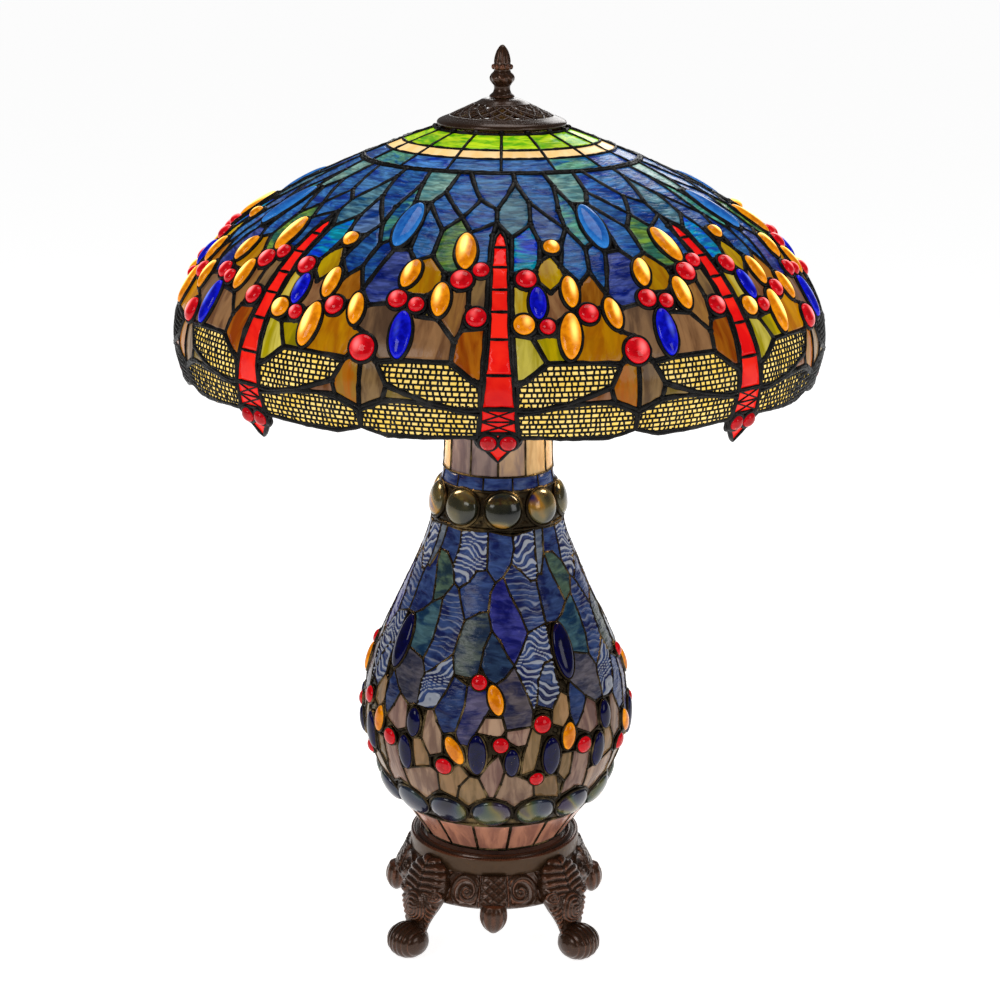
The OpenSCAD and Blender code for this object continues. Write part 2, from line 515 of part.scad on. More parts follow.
module socket_cluster() {
    color("darkgoldenrod") difference() {
        union() {
            translate([0, 0, cluster_z - 18]) cylinder(r = 13, h = 34, $fn = round_fn);
            for (s = [-1, 1]) on_arm(s) cylinder(r = 9, h = 26, $fn = round_fn);
        }
        translate([0, 0, cluster_z - 19]) cylinder(r = stem_r + 0.05, h = 12, $fn = round_fn);
        translate([0, 0, cluster_z + 8]) cylinder(r = stem_r + 0.05, h = 12, $fn = round_fn);
        for (s = [-1, 1]) on_arm(s) translate([0, 0, 20]) cylinder(r = 5, h = 8, $fn = round_fn);
    }
}

module bulb_sockets() {
    color("darkgoldenrod") for (s = [-1, 1]) difference() {
        union() {
            on_arm(s) translate([0, 0, 26.1]) {
                cylinder(r = 17, h = socket_l, $fn = round_fn);
                translate([0, 0, socket_l - 3]) cylinder(r = 18.4, h = 3, $fn = round_fn);
            }
            translate([s * chain_x, 0, cluster_z - 20]) cylinder(r = 5.5, h = 18, $fn = round_fn);
        }
        on_arm(s) translate([0, 0, 34]) cylinder(r = 14.6, h = 60, $fn = round_fn);
        translate([s * chain_x, 0, cluster_z - 40]) cylinder(r = 1.6, h = 45, $fn = round_fn);
    }
}

module bulb(s) {
    color("lightyellow") on_arm(s) translate([0, 0, 38]) rotate_extrude($fn = round_fn) polygon(concat(
        [[0, 0], [5, 0], [13, 4], [13, 24], [14, 30], [15.5, 38]],
        [for (a = [-50:10:80]) [bulb_r * cos(a), 66 + bulb_r * sin(a)]], [[0, 66 + bulb_r]]));
}

module bulb_left() { bulb(-1); }
module bulb_right() { bulb(1); }

// A bead chain drawn as its core, with a ball at the end.
module pull_chain(s) {
    color("goldenrod") translate([s * chain_x, 0, cluster_z - 2 - chain_l]) {
        translate([0, 0, 4]) cylinder(r = 1.2, h = chain_l - 5, $fn = 24);
        translate([0, 0, 3]) sphere(r = 3.6, $fn = 32);
    }
}

module pull_chain_left() { pull_chain(-1); }
module pull_chain_right() { pull_chain(1); }

riser_top = 612;
seat_z = 575;

module riser_rod() {
    color("goldenrod") {
        translate([0, 0, cluster_z + 8]) cylinder(r = stem_r, h = riser_top - cluster_z - 8, $fn = round_fn);
        translate([0, 0, seat_z - 6]) cylinder(r = 9, h = 6, $fn = round_fn);
    }
}

module seat_washer() {
    color("gold") translate([0, 0, seat_z]) difference() {
        cylinder(r = 11, h = 1.2, $fn = round_fn);
        translate([0, 0, -1]) cylinder(r = stem_r + 0.08, h = 4, $fn = round_fn);
    }
}

// ---------------- shade ----------------
band_lines = [26.5, 38, 54];
pane_count = 2 * shade_repeats;
rib_w = 2;
wheel_r = crown_r - 0.8;
wheel_z = seat_z + 1.26;

module shade_wheel() {
    color("goldenrod") difference() {
        union() {
            translate([0, 0, wheel_z]) cylinder(r = 13, h = 4, $fn = round_fn);
            round_all(3) translate([-3, 0, wheel_z]) cube([6, wheel_r - 2, 3]);
            translate([0, 0, wheel_z]) difference() {
                cylinder(r = wheel_r, h = 3);
                translate([0, 0, -1]) cylinder(r = wheel_r - 3.6, h = 5);
            }
        }
        translate([0, 0, seat_z]) cylinder(r = stem_r + 0.08, h = 8, $fn = round_fn);
    }
}

module crown_ring() {
    color("goldenrod") skin_ring(shade_track, 0.2, 3.6, 0.5, 3.4, 2);
}

module band_panes(s0, s1) {
    for (i = [0:pane_count - 1]) skin_cell(shade_track, s0, s1, 360 * i / pane_count + 360 / pane_count / 2,
        360 / pane_count - 150 / lookup(s0, SHADE_R), 0, glass_t, 3);
}

module green_panes() { color("yellowgreen") band_panes(3.8, band_lines[0] - 1.4); }
module cream_panes() { color("moccasin") band_panes(band_lines[0] + 1.4, band_lines[1] - 1.4); }
module blue_band_panes() { color("royalblue") band_panes(band_lines[1] + 1.4, band_lines[2] - 1.4); }

module band_came() {
    color("black") {
        for (s = band_lines) skin_ring(shade_track, s - 1.2, s + 1.2, 0.5, 3.4, 1);
        round_all(pane_count) translate([0, rib_w / 2, 0]) rotate([90, 0, 0]) linear_extrude(rib_w)
            polygon(skin(shade_track, 3.8, band_lines[2], 0.4, 3.2, 6));
    }
}

module shade_set(panes) {
    round_all(shade_repeats) for (p = panes) pane(shade_track, corners(SHADE_AT, p, repeat_deg), SHADE_JEWELS,
        repeat_deg, near_deg, glass_t);
}

module shade_foil_set(panes) {
    round_all(shade_repeats) for (p = panes) pane_foil(shade_track, corners(SHADE_AT, p, repeat_deg),
        SHADE_JEWELS, repeat_deg, near_deg, foil_t);
}

module sky_panes() { color("royalblue") shade_set(SKY); }
module sky_foil() { color("black") shade_foil_set(SKY); }
module earth_panes() { color("peru") shade_set(EARTH); }
module earth_foil() { color("black") shade_foil_set(EARTH); }

module shade_blue_ovals() { color("dodgerblue") jewel_set(shade_track, shade_repeats, BLUE_OVALS); }
module shade_amber_jewels() { color("orange") jewel_set(shade_track, shade_repeats, AMBER); }
module shade_red_jewels() { color("red") jewel_set(shade_track, shade_repeats, RED); }
module shade_cobalt_jewels() { color("blue") jewel_set(shade_track, shade_repeats, COBALT); }

WINGS = [UPPER_WING, LOWER_WING, mirrored(UPPER_WING), mirrored(LOWER_WING)];
module wing_panes() {
    color("khaki") round_all(shade_repeats) for (w = WINGS)
        pane(shade_track, w, [], 0, 0, glass_t, wing_gap);
}

module wing_foil() {
    color("black") round_all(shade_repeats) for (w = WINGS)
        pane_foil(shade_track, w, [], 0, 0, foil_t, wing_gap);
}

function tail_piece(i) = let (a = TAIL[i], b = TAIL[i + 1])
    [[-a[1], a[0]], [a[1], a[0]], [b[1], b[0]], [-b[1], b[0]]];
TAIL_SET = concat([for (i = [0:len(TAIL) - 2]) tail_piece(i)], [THORAX]);
module tail_panes() {
    color("red") round_all(shade_repeats) for (p = TAIL_SET) pane(shade_track, p, [], 0, 0, glass_t);
}

module tail_foil() {
    color("black") round_all(shade_repeats) for (p = TAIL_SET) pane_foil(shade_track, p, [], 0, 0, foil_t);
}

module dragonfly_eyes() { color("firebrick") jewel_set(shade_track, shade_repeats, EYES); }

module head_foil() {
    color("black") round_all(shade_repeats) {
        q = [0, 268];
        on_glass(shade_track, q, -foil_t / 2 - 0.6) linear_extrude(foil_t)
            pane_shape(shade_track, HEAD, q, EYES, foil_gap, 0.1);
    }
}

module rim_wire() {
    color("black") skin_ring(shade_track, 264.6, 268.2, -4.6, 2, 2);
}

// ---------------- cap and finial ----------------
cap_z = 582;
module heat_cap() {
    color("saddlebrown") difference() {
        rotate_extrude() polygon([[stem_r + 0.3, 600], [10, 600], [13, 599.4], [16, 597], [22, 594.2],
            [30, 590.6], [37, 587.8], [40.5, 586.9], [43, 586], [43.7, 584.4], [43, cap_z], [38, cap_z],
            [38, 584.6], [30, 588.6], [22, 592.2], [15, 595], [11, 597.4], [stem_r + 0.3, 597.8]]);
        for (k = [0:1]) rotate([0, 0, 10 * k]) round_all(18) translate([0, -24.2 - 3.6 * k, 575])
            cylinder(r = 1.4, h = 30, $fn = 16);
    }
}

module finial() {
    color("saddlebrown") difference() {
        rotate_extrude($fn = round_fn) polygon([[0, 600.2], [8.2, 600.2], [8.4, 602], [7, 603], [5.2, 604.4],
            [5.4, 606], [7.4, 608], [8, 610.6], [7.4, 613.2], [5.6, 615], [5.4, 616.6], [6.6, 617.6],
            [6.6, 619.4], [5.6, 620], [6.4, 621.6], [6.4, 624.6], [5.2, 628.4], [3, 632], [1, 634.8],
            [0, 635]]);
        translate([0, 0, 600]) cylinder(r = stem_r + 0.08, h = 13, $fn = round_fn);
    }
}

base_casting();
foot_pendants();
leg_front_right();
leg_front_left();
leg_back_right();
leg_back_left();
cord_bushing();
bottom_plate();
plate_screws();
stem_tube();
stem_nuts();
night_light_bracket();
night_light_socket();
night_light_bulb();
neck_panes();
neck_band_panes();
upper_cabochon_ring();
body_ripple_panes();
body_brown_panes();
body_foot_panes();
lower_cabochon_ring();
body_cobalt_jewels();
body_red_jewels();
body_amber_jewels();
ripple_foil();
body_band_came();
vase_cap();
socket_cluster();
bulb_sockets();
bulb_left();
bulb_right();
pull_chain_left();
pull_chain_right();
riser_rod();
seat_washer();
shade_wheel();
crown_ring();
green_panes();
cream_panes();
blue_band_panes();
band_came();
sky_panes();
sky_foil();
earth_panes();
earth_foil();
shade_blue_ovals();
shade_amber_jewels();
shade_red_jewels();
shade_cobalt_jewels();
wing_panes();
wing_foil();
tail_panes();
tail_foil();
dragonfly_eyes();
head_foil();
rim_wire();
heat_cap();
finial();
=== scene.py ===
"""Looks of the dragonfly table lamp: a leaded glass shade and a lit glass body on a cast bronze foot.

Places on the glass are [degrees from the front, millimetres down the glass], as in the CAD source.
"""
import math
import random

import bpy
import numpy as np
from mathutils import Matrix, Vector, geometry, noise


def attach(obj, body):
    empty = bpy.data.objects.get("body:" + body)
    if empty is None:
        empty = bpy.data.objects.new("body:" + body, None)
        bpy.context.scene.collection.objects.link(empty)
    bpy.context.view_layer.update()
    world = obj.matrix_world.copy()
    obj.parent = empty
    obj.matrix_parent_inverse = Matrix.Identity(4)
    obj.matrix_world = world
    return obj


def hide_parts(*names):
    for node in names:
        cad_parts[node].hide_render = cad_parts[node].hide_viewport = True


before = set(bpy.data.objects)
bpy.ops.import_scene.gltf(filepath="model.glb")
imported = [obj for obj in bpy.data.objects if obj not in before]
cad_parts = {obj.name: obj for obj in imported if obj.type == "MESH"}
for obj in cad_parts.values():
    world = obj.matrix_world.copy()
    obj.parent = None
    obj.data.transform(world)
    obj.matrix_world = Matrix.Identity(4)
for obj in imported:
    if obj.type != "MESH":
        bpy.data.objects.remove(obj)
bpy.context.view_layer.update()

MM = 0.001
dice = random.Random(11)


def srgb(*rgb):
    """Linear colour of a display colour given in 0 to 255."""
    return tuple(((c / 255 + 0.055) / 1.055) ** 2.4 if c > 10 else c / 255 / 12.92 for c in rgb)


def circle(count):
    """Angles of count places round a circle, in radians."""
    return np.linspace(0, 2 * math.pi, count, endpoint=False)


def around(radius, angle, height):
    """Points at a radius, an angle from the front and a height."""
    return np.stack(np.broadcast_arrays(radius * np.sin(angle), -radius * np.cos(angle), height), -1)


# ---------------------------------------------------------------- the turned glass surfaces
class Track:
    """A surface of revolution given by its outline, [height, radius] from the top down."""

    blur = (-6.0, -3.0, 0.0, 3.0, 6.0)

    def __init__(self, outline):
        self.z, self.r = np.array(outline, float).T
        steps = np.hypot(np.diff(self.z), np.diff(self.r))
        self.s = np.concatenate([[0.0], np.cumsum(steps)])
        self.length = self.s[-1]

    def profile(self, s):
        """Radius and height, eased a little over the outline's corners."""
        s = np.asarray(s, float)
        near = [np.clip(s + d, min(0, d), self.length) for d in self.blur]
        return tuple(np.mean([np.interp(n, self.s, v) for n in near], axis=0) for v in (self.r, self.z))

    def frames(self, q):
        """Points in mm, with the outward, sideways and upward directions at each."""
        q = np.atleast_2d(np.asarray(q, float))
        a = np.radians(q[:, 0])
        r, z = self.profile(q[:, 1])
        r0, z0 = self.profile(q[:, 1] - 2)
        r1, z1 = self.profile(q[:, 1] + 2)
        slope = np.hypot(r1 - r0, z1 - z0)
        nr, nz = (z0 - z1) / slope, (r1 - r0) / slope
        place, out = around(r, a, z), around(nr, a, nz)
        side = np.stack([np.cos(a), np.sin(a), np.zeros_like(a)], 1)
        return place, out, side, np.cross(out, side)

    def at(self, q, lift):
        place, out, _, _ = self.frames(q)
        return place + out * np.reshape(lift, (-1, 1))

    def mm_per_degree(self, s):
        return float(self.profile(s)[0]) * math.pi / 180


SHADE = Track([(581.2, 41), (575, 60), (560, 97), (545, 130), (530, 157), (515, 179), (500, 194.5),
               (485, 206.5), (470, 215.5), (455, 220.5), (440, 221.5), (425, 218.5), (410, 212.5),
               (400, 207.5), (392, 203), (385, 199)])
BODY = Track([(376, 36.5), (345, 37.8), (335, 40.6), (320, 44), (300, 48.3), (280, 56), (260, 65),
              (240, 74.5), (220, 83.5), (200, 90.5), (180, 94), (165, 94.5), (150, 92), (135, 87),
              (120, 79.5), (105, 70), (95, 63), (85, 56), (76, 50)])
SHADE_REPEATS, BODY_REPEATS = 8, 4
SHADE_STEP, BODY_STEP = 360 / SHADE_REPEATS, 360 / BODY_REPEATS
# Millimetres: how thick the panes are, and how far about the sheet that each is cut from reaches.
GLASS = 2.4
SHEET = 900

# Bands of glass: panes round, and millimetres down to the top and the bottom.
GREEN_BAND, CREAM_BAND, BLUE_BAND = (16, 1.5, 26.5), (16, 26.5, 38), (16, 38, 54)
NECK, NECK_BAND, FOOT_BAND = (12, 2.5, 29), (12, 29, 39), (16, 288, 320)
# Degrees that the panes by the foot are turned from the front.
FOOT_TURN = -1.5

# The glass pattern: corners of one repeat and panes as lists of corners.
# A corner number of NEXT or more is the corner that many lower, in the next repeat.
NEXT = 200
SHADE_AT = [
    (-16, 56.6), (-11.5, 56.6), (4.8, 56.6), (16.5, 56.6), (-17.3, 80), (-5.7, 88), (4.9, 66),
    (17.8, 72), (-20, 93), (20.3, 93), (-9.7, 107), (-0.9, 98), (8.2, 90), (15.6, 100), (-0.9, 111),
    (15.6, 118), (-13.6, 120), (-6.8, 121.5), (-1.8, 124), (7.3, 113), (2.6, 126), (13.6, 130),
    (8.7, 131), (18.4, 137), (-13.9, 144), (-19.2, 140), (-10.6, 158), (-6.8, 157), (-5.2, 159.5),
    (-2.2, 150), (-2.2, 187), (2.2, 157), (6.8, 155.5), (8, 147), (12, 152), (14.9, 165),
    (17.4, 157), (19.5, 174), (22.4, 141), (21.6, 184), (-19.7, 181.5), (-17.2, 149), (-18, 171.5),
    (20.6, 132), (-10.6, 166), (-13, 175), (-16.3, 175), (-5.4, 181.5), (-5.6, 169), (-6.2, 197),
    (-7.3, 204.5), (-10.3, 191), (-7.6, 170), (-14.2, 189), (-7.6, 217.5), (-16.3, 187),
    (-16.3, 217.5), (-2.2, 195.5), (-2.6, 229), (-3.9, 228.5), (-19.8, 219), (22.6, 203),
    (20.5, 199), (2.2, 165), (4.9, 168.5), (6.7, 168), (6.7, 190), (2.2, 188), (2.2, 199.5),
    (5.4, 201.5), (7.6, 217.5), (3.9, 228.5), (2.6, 229), (8.2, 200), (11.7, 201), (11.2, 217.5),
    (10.4, 141.5), (12.6, 160.5), (9.2, 171.5), (7.2, 164), (12.8, 183.5), (12, 186.5), (9.6, 192),
    (18, 183), (19.8, 219), (22.6, 215), (22.6, 248.5), (18.4, 242), (17.8, 233.5), (-22.4, 215),
    (-22.4, 248.5), (-18.4, 242), (-17.8, 233.5), (10.8, 242.6), (-10.8, 242.6)]
SKY = [[3, 7, 9, 208, 204, 200], [0, 1, 5, 10, 4], [1, 2, 6, 11, 5], [2, 3, 7, 13, 15, 12, 6],
       [6, 12, 19, 20, 14, 11], [4, 10, 16, 8], [5, 11, 14, 17, 10], [10, 17, 27, 26, 24, 16],
       [14, 18, 29, 28, 27, 17], [20, 19, 22, 33, 32, 31], [12, 15, 21, 22, 19], [7, 9, 43, 23, 15, 13],
       [15, 23, 36, 35, 34, 21], [23, 43, 38, 37, 36], [38, 225, 241, 242, 240, 39, 37],
       [8, 16, 24, 41, 25]]
EARTH = [[24, 26, 44, 45, 46, 42, 41], [28, 29, 30, 47, 48], [48, 47, 49, 50, 51, 44, 52],
         [45, 53, 51, 50, 54, 56, 55], [49, 57, 58, 59, 54, 50], [39, 240, 255, 256, 260, 61, 62, 37],
         [63, 64, 65, 66, 67], [68, 69, 70, 71, 72], [69, 73, 74, 75, 70], [76, 34, 77, 78, 79, 32, 33],
         [78, 77, 80, 81, 82, 66, 65, 79], [35, 36, 37, 83, 80], [81, 83, 62, 61, 84, 75],
         [84, 85, 86, 87, 88], [60, 89, 90, 91, 92], [88, 87, 93], [92, 91, 94]]
# Jewels as (degrees, down the glass, half width, half height, lean in degrees).
BLUE_OVALS = [(22.6, 117.5, 7.2, 21.5, 0)]
AMBER = [(-7.1, 139.5, 6.3, 15.5, -5), (-17, 160, 5.3, 10.5, 12), (-10.4, 177.5, 5.6, 11.5, 0),
         (10.9, 136, 5, 5.4, 0), (12.7, 171.5, 5, 11, 0), (19.7, 187.5, 5, 10.5, -8),
         (11.7, 201, 6.4, 14.5, 5), (4.1, 193.5, 6.4, 6.4, 0)]
RED = [(-7.1, 163, 6.7, 6.7, 0), (-3.6, 155.5, 5, 5, 0), (4.9, 162, 6.2, 6.2, 0),
       (-3.9, 189, 6.2, 6.2, 0), (8, 195, 4.7, 4.7, 0), (15.3, 187, 6.1, 6.1, 0),
       (-18.1, 179, 5.9, 5.9, 0), (-14.5, 182, 4.8, 4.8, 0), (22.6, 212, 8, 8, 0)]
COBALT = [(6.7, 179, 5, 10.8, 0), (-16.3, 202, 6.5, 15, 0)]
EYES = [(-1.6, 267.3, 4.9, 4.9, 0), (1.6, 267.3, 4.9, 4.9, 0)]
UPPER_WING = [(2.9, 231), (4.2, 228.7), (7.8, 218), (12, 217.7), (17, 218.8), (19.5, 220.6), (17.8, 232.5),
              (11, 242), (5, 246.3), (2.9, 246)]
LOWER_WING = [(2.9, 249), (5, 247.6), (11, 243.6), (15, 242.4), (18.3, 243.4), (22.3, 250.5),
              (22.3, 262), (18, 266.5), (12, 266), (7, 264.5), (3.3, 264)]
TAIL = [(122, 1.1), (135, 1.5), (152, 1.6), (169, 1.6), (184.5, 1.6), (202.5, 1.6), (224.5, 2.1),
        (244.5, 2.6)]
THORAX = [(-2.7, 245.5), (2.7, 245.5), (2.9, 261), (-2.9, 261)]
HEAD = [(-2.9, 261.6), (2.9, 261.6), (4, 264), (0, 283), (-4, 264)]

BODY_AT = [
    (-57, 66), (-48, 66), (-32, 67), (-8, 66), (13, 69), (-51, 83), (-57, 97), (-60, 97), (-42, 84),
    (-34, 92), (-49, 95), (-30, 104), (-36, 115), (-43, 119.5), (-45, 109), (-49, 127),
    (-54.5, 131.5), (-61, 131), (-62, 101), (-31.5, 78), (-7.4, 92.5), (-15, 94), (-19, 101),
    (-26, 107), (13.5, 78), (10.7, 88), (4.5, 97), (-1, 101), (17, 93), (24, 101), (9, 110),
    (14, 122), (17.5, 136), (-4, 108), (-5, 121), (-10, 122), (-18.5, 128), (13, 148), (9, 158),
    (6, 152), (2, 141), (-2.5, 134), (-20.5, 140), (-22, 152), (-29.5, 162), (-35, 168.5),
    (-38, 159), (-35.3, 145), (-35, 128), (-54.5, 151.5), (-54.5, 172.5), (-36, 173), (-36, 190.5),
    (-41, 192), (-46.5, 186), (-19.8, 166), (-9, 167.5), (-7.5, 158), (-6.3, 146), (-4.5, 167),
    (0, 170.5), (4.5, 166), (14, 177), (16.5, 190), (15.5, 200), (4.5, 202), (3, 193), (24, 158),
    (20, 168), (18, 186), (29, 156), (29.2, 168), (30, 178), (25, 190), (-23, 179), (-27.5, 191),
    (-31, 192), (-13, 172), (-13.5, 186), (-17, 205), (-22.5, 207), (-25.5, 199), (-4.5, 193),
    (-8, 204), (-10.5, 214), (-15.5, 213), (-49.5, 196), (-54, 206), (-56.5, 196), (-56.5, 182),
    (-7.5, 169.5), (0, 181), (-40.7, 209), (-46, 213), (-22.5, 221), (-28.5, 225), (-32.5, 213),
    (-28.5, 233), (-37, 237), (-37, 214), (-61, 222), (-55.5, 222), (-55.5, 240), (-57.5, 246),
    (-62, 238), (-46, 222), (-45, 241), (-44, 257), (-50, 254.5), (-57.5, 260), (-25.5, 237),
    (-26, 253), (-30, 258), (-35.5, 266), (-15, 228), (-11, 237), (-16, 247), (-18, 259),
    (-7, 238), (-3, 255.5), (-8, 259.5), (-13, 266.5), (1.5, 219), (4.2, 232), (2.6, 243),
    (-0.3, 256), (-3.5, 228), (12, 238), (17, 243), (18.5, 256), (13, 260.5), (9.7, 266.5),
    (5, 260), (24, 238), (28, 239), (32.5, 262), (28, 259.5), (20, 206), (18.5, 222), (17, 233),
    (11, 236), (11.5, 222), (13, 213), (9, 214), (4.5, 209), (2.3, 207), (-2, 206), (33.5, 182),
    (33.5, 196), (30, 204), (24.5, 200)]
RIPPLE = [
    [0, 1, 5, 6, 7], [1, 2, 19, 9, 8, 5], [5, 8, 9, 11, 12, 13, 14, 10],
    [7, 6, 5, 10, 14, 13, 15, 16, 17, 18], [2, 3, 20, 21, 22, 23, 11, 9, 19], [3, 4, 24, 25, 26, 27, 20],
    [4, 200, 207, 218, 29, 28, 25, 24], [25, 28, 29, 218, 217, 32, 31, 30, 26],
    [21, 20, 27, 33, 34, 35, 36, 23, 22], [27, 26, 30, 31, 32, 37, 38, 39, 40, 41, 34, 33],
    [11, 23, 36, 42, 43, 44, 45, 46, 47, 48, 12], [13, 12, 48, 47, 46, 49, 16, 15],
    [49, 46, 45, 51, 52, 53, 54, 50], [34, 41, 58, 57, 56, 55, 43, 42, 36, 35],
    [41, 40, 39, 38, 61, 60, 59, 57, 58], [32, 217, 70, 67, 68, 69, 63, 62, 38, 37],
    [67, 70, 71, 72, 73, 69, 68], [44, 43, 55, 74, 75, 76, 52, 51, 45], [38, 62, 63, 64, 65, 66, 60, 61],
    [55, 77, 78, 79, 80, 81, 75, 74], [77, 90, 91, 82, 83, 84, 85, 79, 78], [50, 54, 86, 87, 88, 89]]
BROWN = [
    [54, 53, 92, 93, 87, 86], [76, 75, 81, 80, 94, 95, 96], [96, 95, 97, 98, 99],
    [100, 101, 102, 103, 104], [101, 105, 106, 107, 108, 109, 103, 102],
    [98, 97, 110, 111, 112, 113, 107, 106], [110, 114, 115, 116, 117, 111],
    [115, 118, 119, 120, 121, 117, 116], [122, 123, 124, 125, 119, 118, 126],
    [123, 127, 128, 129, 130, 131, 132, 125, 124], [128, 133, 134, 135, 136, 129],
    [64, 137, 138, 139, 140, 141, 142], [65, 64, 142, 143, 144], [82, 66, 65, 145, 146, 83],
    [72, 147, 148, 149, 150, 73]]
BODY_COBALT = [(-54.5, 151.5, 7.2, 19.5, 0), (-36.5, 203, 5.5, 10, 0), (-41, 226.5, 5.6, 12.5, 0),
               (-7.5, 219.5, 6.2, 14, 0), (7, 225, 5, 10, 0), (24, 222.5, 6.2, 13.5, 0)]
BODY_RED = [(-7.5, 169.5, 5.2, 5.2, 0), (2.3, 212, 5.2, 5.2, 0), (20, 199, 6, 6, 0),
            (-22, 230.5, 5.8, 5.8, 0), (18, 239, 4.8, 4.8, 0), (-50, 219, 5.8, 5.8, 0)]
BODY_AMBER = [(0, 181, 5, 10.5, -15), (-17, 217.5, 5, 10.5, -30), (-58, 210, 5, 9.5, 8)]


# Solder run into the corners that the cut glass leaves open: degrees, distance down, half width, half height
BODY_FILLS = [(32, 175.5, 3.8, 5.2), (31, 248, 2.3, 5.6), (26.3, 204.1, 2.4, 2.5), (18.4, 66.8, 3.6, 1.2),
              (75.1, 168.2, 2.4, 1.2), (18.7, 188.3, 2.2, 1.2), (11.6, 215, 1.7, 1.7)]
SHADE_FILLS = [(44.6, 118.8, 1.4, 2.2), (1.8, 128.8, 0.9, 2.6)]


def outline_of(at, pane, step):
    """The corners of a pane as places on the glass."""
    return np.array([at[i] if i < NEXT else (at[i - NEXT][0] + step, at[i - NEXT][1]) for i in pane], float)


def patterned(at, panes, step):
    return [outline_of(at, pane, step) for pane in panes]


def mirrored(outline):
    return [(-a, s) for a, s in outline]


# ---------------------------------------------------------------- mesh building
def turn(points, degrees):
    c, s = math.cos(math.radians(degrees)), math.sin(math.radians(degrees))
    return np.asarray(points) @ np.array([[c, s, 0], [-s, c, 0], [0, 0, 1]])


class Piece:
    """Gathers closed solids in millimetres and makes them one Blender object in metres."""

    def __init__(self, name):
        self.name, self.points, self.faces, self.fields, self.count = name, [], [], {}, 0

    def add(self, points, faces, **fields):
        self.points.append(np.asarray(points, float))
        self.faces.extend(tuple(int(i) + self.count for i in f) for f in faces)
        for key, value in fields.items():
            value = np.asarray(value, float)
            if value.ndim < 2 and value.size != len(points):
                value = np.tile(value, (len(points), 1))
            self.fields.setdefault(key, []).append(value.reshape(len(points), -1))
        self.count += len(points)

    def make(self, material, body, replaces=()):
        mesh = bpy.data.meshes.new(self.name)
        mesh.from_pydata(np.vstack(self.points) * MM, [], self.faces)
        for key, rows in self.fields.items():
            data, kind, value = np.vstack(rows), "FLOAT_VECTOR", "vector"
            if data.shape[1] == 1:
                kind, value = "FLOAT", "value"
            elif key.startswith("tint"):
                data, kind, value = np.hstack([data, np.ones((len(data), 1))]), "FLOAT_COLOR", "color"
            mesh.attributes.new(key, kind, "POINT").data.foreach_set(value, data.ravel())
        mesh.polygons.foreach_set("use_smooth", [True] * len(mesh.polygons))
        mesh.materials.append(material)
        mesh.update()
        piece = bpy.data.objects.new(self.name, mesh)
        bpy.context.scene.collection.objects.link(piece)
        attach(piece, body)
        if replaces:
            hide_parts(*replaces)
        return piece


def ring_quads(i, j, n):
    """Faces between rings i and j of a solid whose rings have n points each."""
    return [(i * n + k, i * n + (k + 1) % n, j * n + (k + 1) % n, j * n + k) for k in range(n)]


def resampled(outline, step):
    """A closed outline with a corner about every step."""
    rows = []
    for a, b in zip(outline, np.roll(outline, -1, axis=0)):
        n = max(1, round(float(np.linalg.norm(b - a)) / step))
        rows.append(a + (b - a) * np.arange(n)[:, None] / n)
    return np.vstack(rows)


def inside(points, outline):
    """Whether each point lies in the outline, by counting crossings."""
    x, y = points[:, 0, None], points[:, 1, None]
    (x0, y0), (x1, y1) = outline.T, np.roll(outline, -1, axis=0).T
    rise = np.where(y1 == y0, 1e-9, y1 - y0)
    crossing = ((y0 > y) != (y1 > y)) & (x < (x1 - x0) * (y - y0) / rise + x0)
    return crossing.sum(1) % 2 == 1


def edge_distance(points, outline):
    """How far each point is from the nearest side of the outline."""
    a, b = outline, np.roll(outline, -1, axis=0)
    d = b - a
    t = ((points[:, None] - a) * d).sum(2) / (d * d).sum(1)
    near = a + np.clip(t, 0, 1)[..., None] * d
    return np.linalg.norm(points[:, None] - near, axis=2).min(1)


def filled(outline, step):
    """Points and triangles over a flat outline, in staggered rows about step apart."""
    edge = resampled(outline, step)
    low, high = edge.min(0), edge.max(0)
    rows = [(x + (j % 2) * step / 2, y) for j, y in enumerate(np.arange(low[1], high[1], step * 0.87))
            for x in np.arange(low[0], high[0], step)]
    grid = np.array(rows or [edge.mean(0)])
    grid = grid[inside(grid, edge) & (edge_distance(grid, edge) > 0.45 * step)]
    points = [Vector(p) for p in np.vstack([edge, grid])]
    sides = [(i, (i + 1) % len(edge)) for i in range(len(edge))]
    made = geometry.delaunay_2d_cdt(points, sides, [], 1, 1e-6)
    return np.array([tuple(v) for v in made[0]]), [tuple(f) for f in made[2]]


def thickened(top, bottom, faces):
    """A closed solid between two copies of an open sheet."""
    n, border = len(top), {}
    for f in faces:
        for a, b in zip(f, f[1:] + f[:1]):
            if border.pop((b, a), None) is None:
                border[(a, b)] = True
    solid = list(faces) + [tuple(i + n for i in reversed(f)) for f in faces]
    solid += [(a, a + n, b + n, b) for a, b in border]
    return np.vstack([top, bottom]), solid


class Flat:
    """The glass round one place laid flat: x to the right and y up, in millimetres."""

    def __init__(self, track, outline):
        self.track, self.mid = track, np.mean(np.asarray(outline, float), axis=0)
        self.k = track.mm_per_degree(self.mid[1])

    def down(self, q):
        return (np.asarray(q, float) - self.mid) * (self.k, -1)

    def up(self, xy):
        return np.asarray(xy) / (self.k, -1) + self.mid


BULB_X = 0.088
BULBS = [np.array([side * BULB_X, 0.0, 0.437]) / MM for side in (-1, 1)]
NIGHT_BULB = np.array([0, -30.0, 212.0])


def glow_at(points, lamps, reach):
    """Brightness that the lamps behind the glass give it, painted into the glass as a glow, about 1 at the
    distance reach.
    """
    total = sum(reach**2 / (reach**2 * 0.35 + ((points - lamp) ** 2).sum(1)) for lamp in lamps)
    return total / len(lamps)


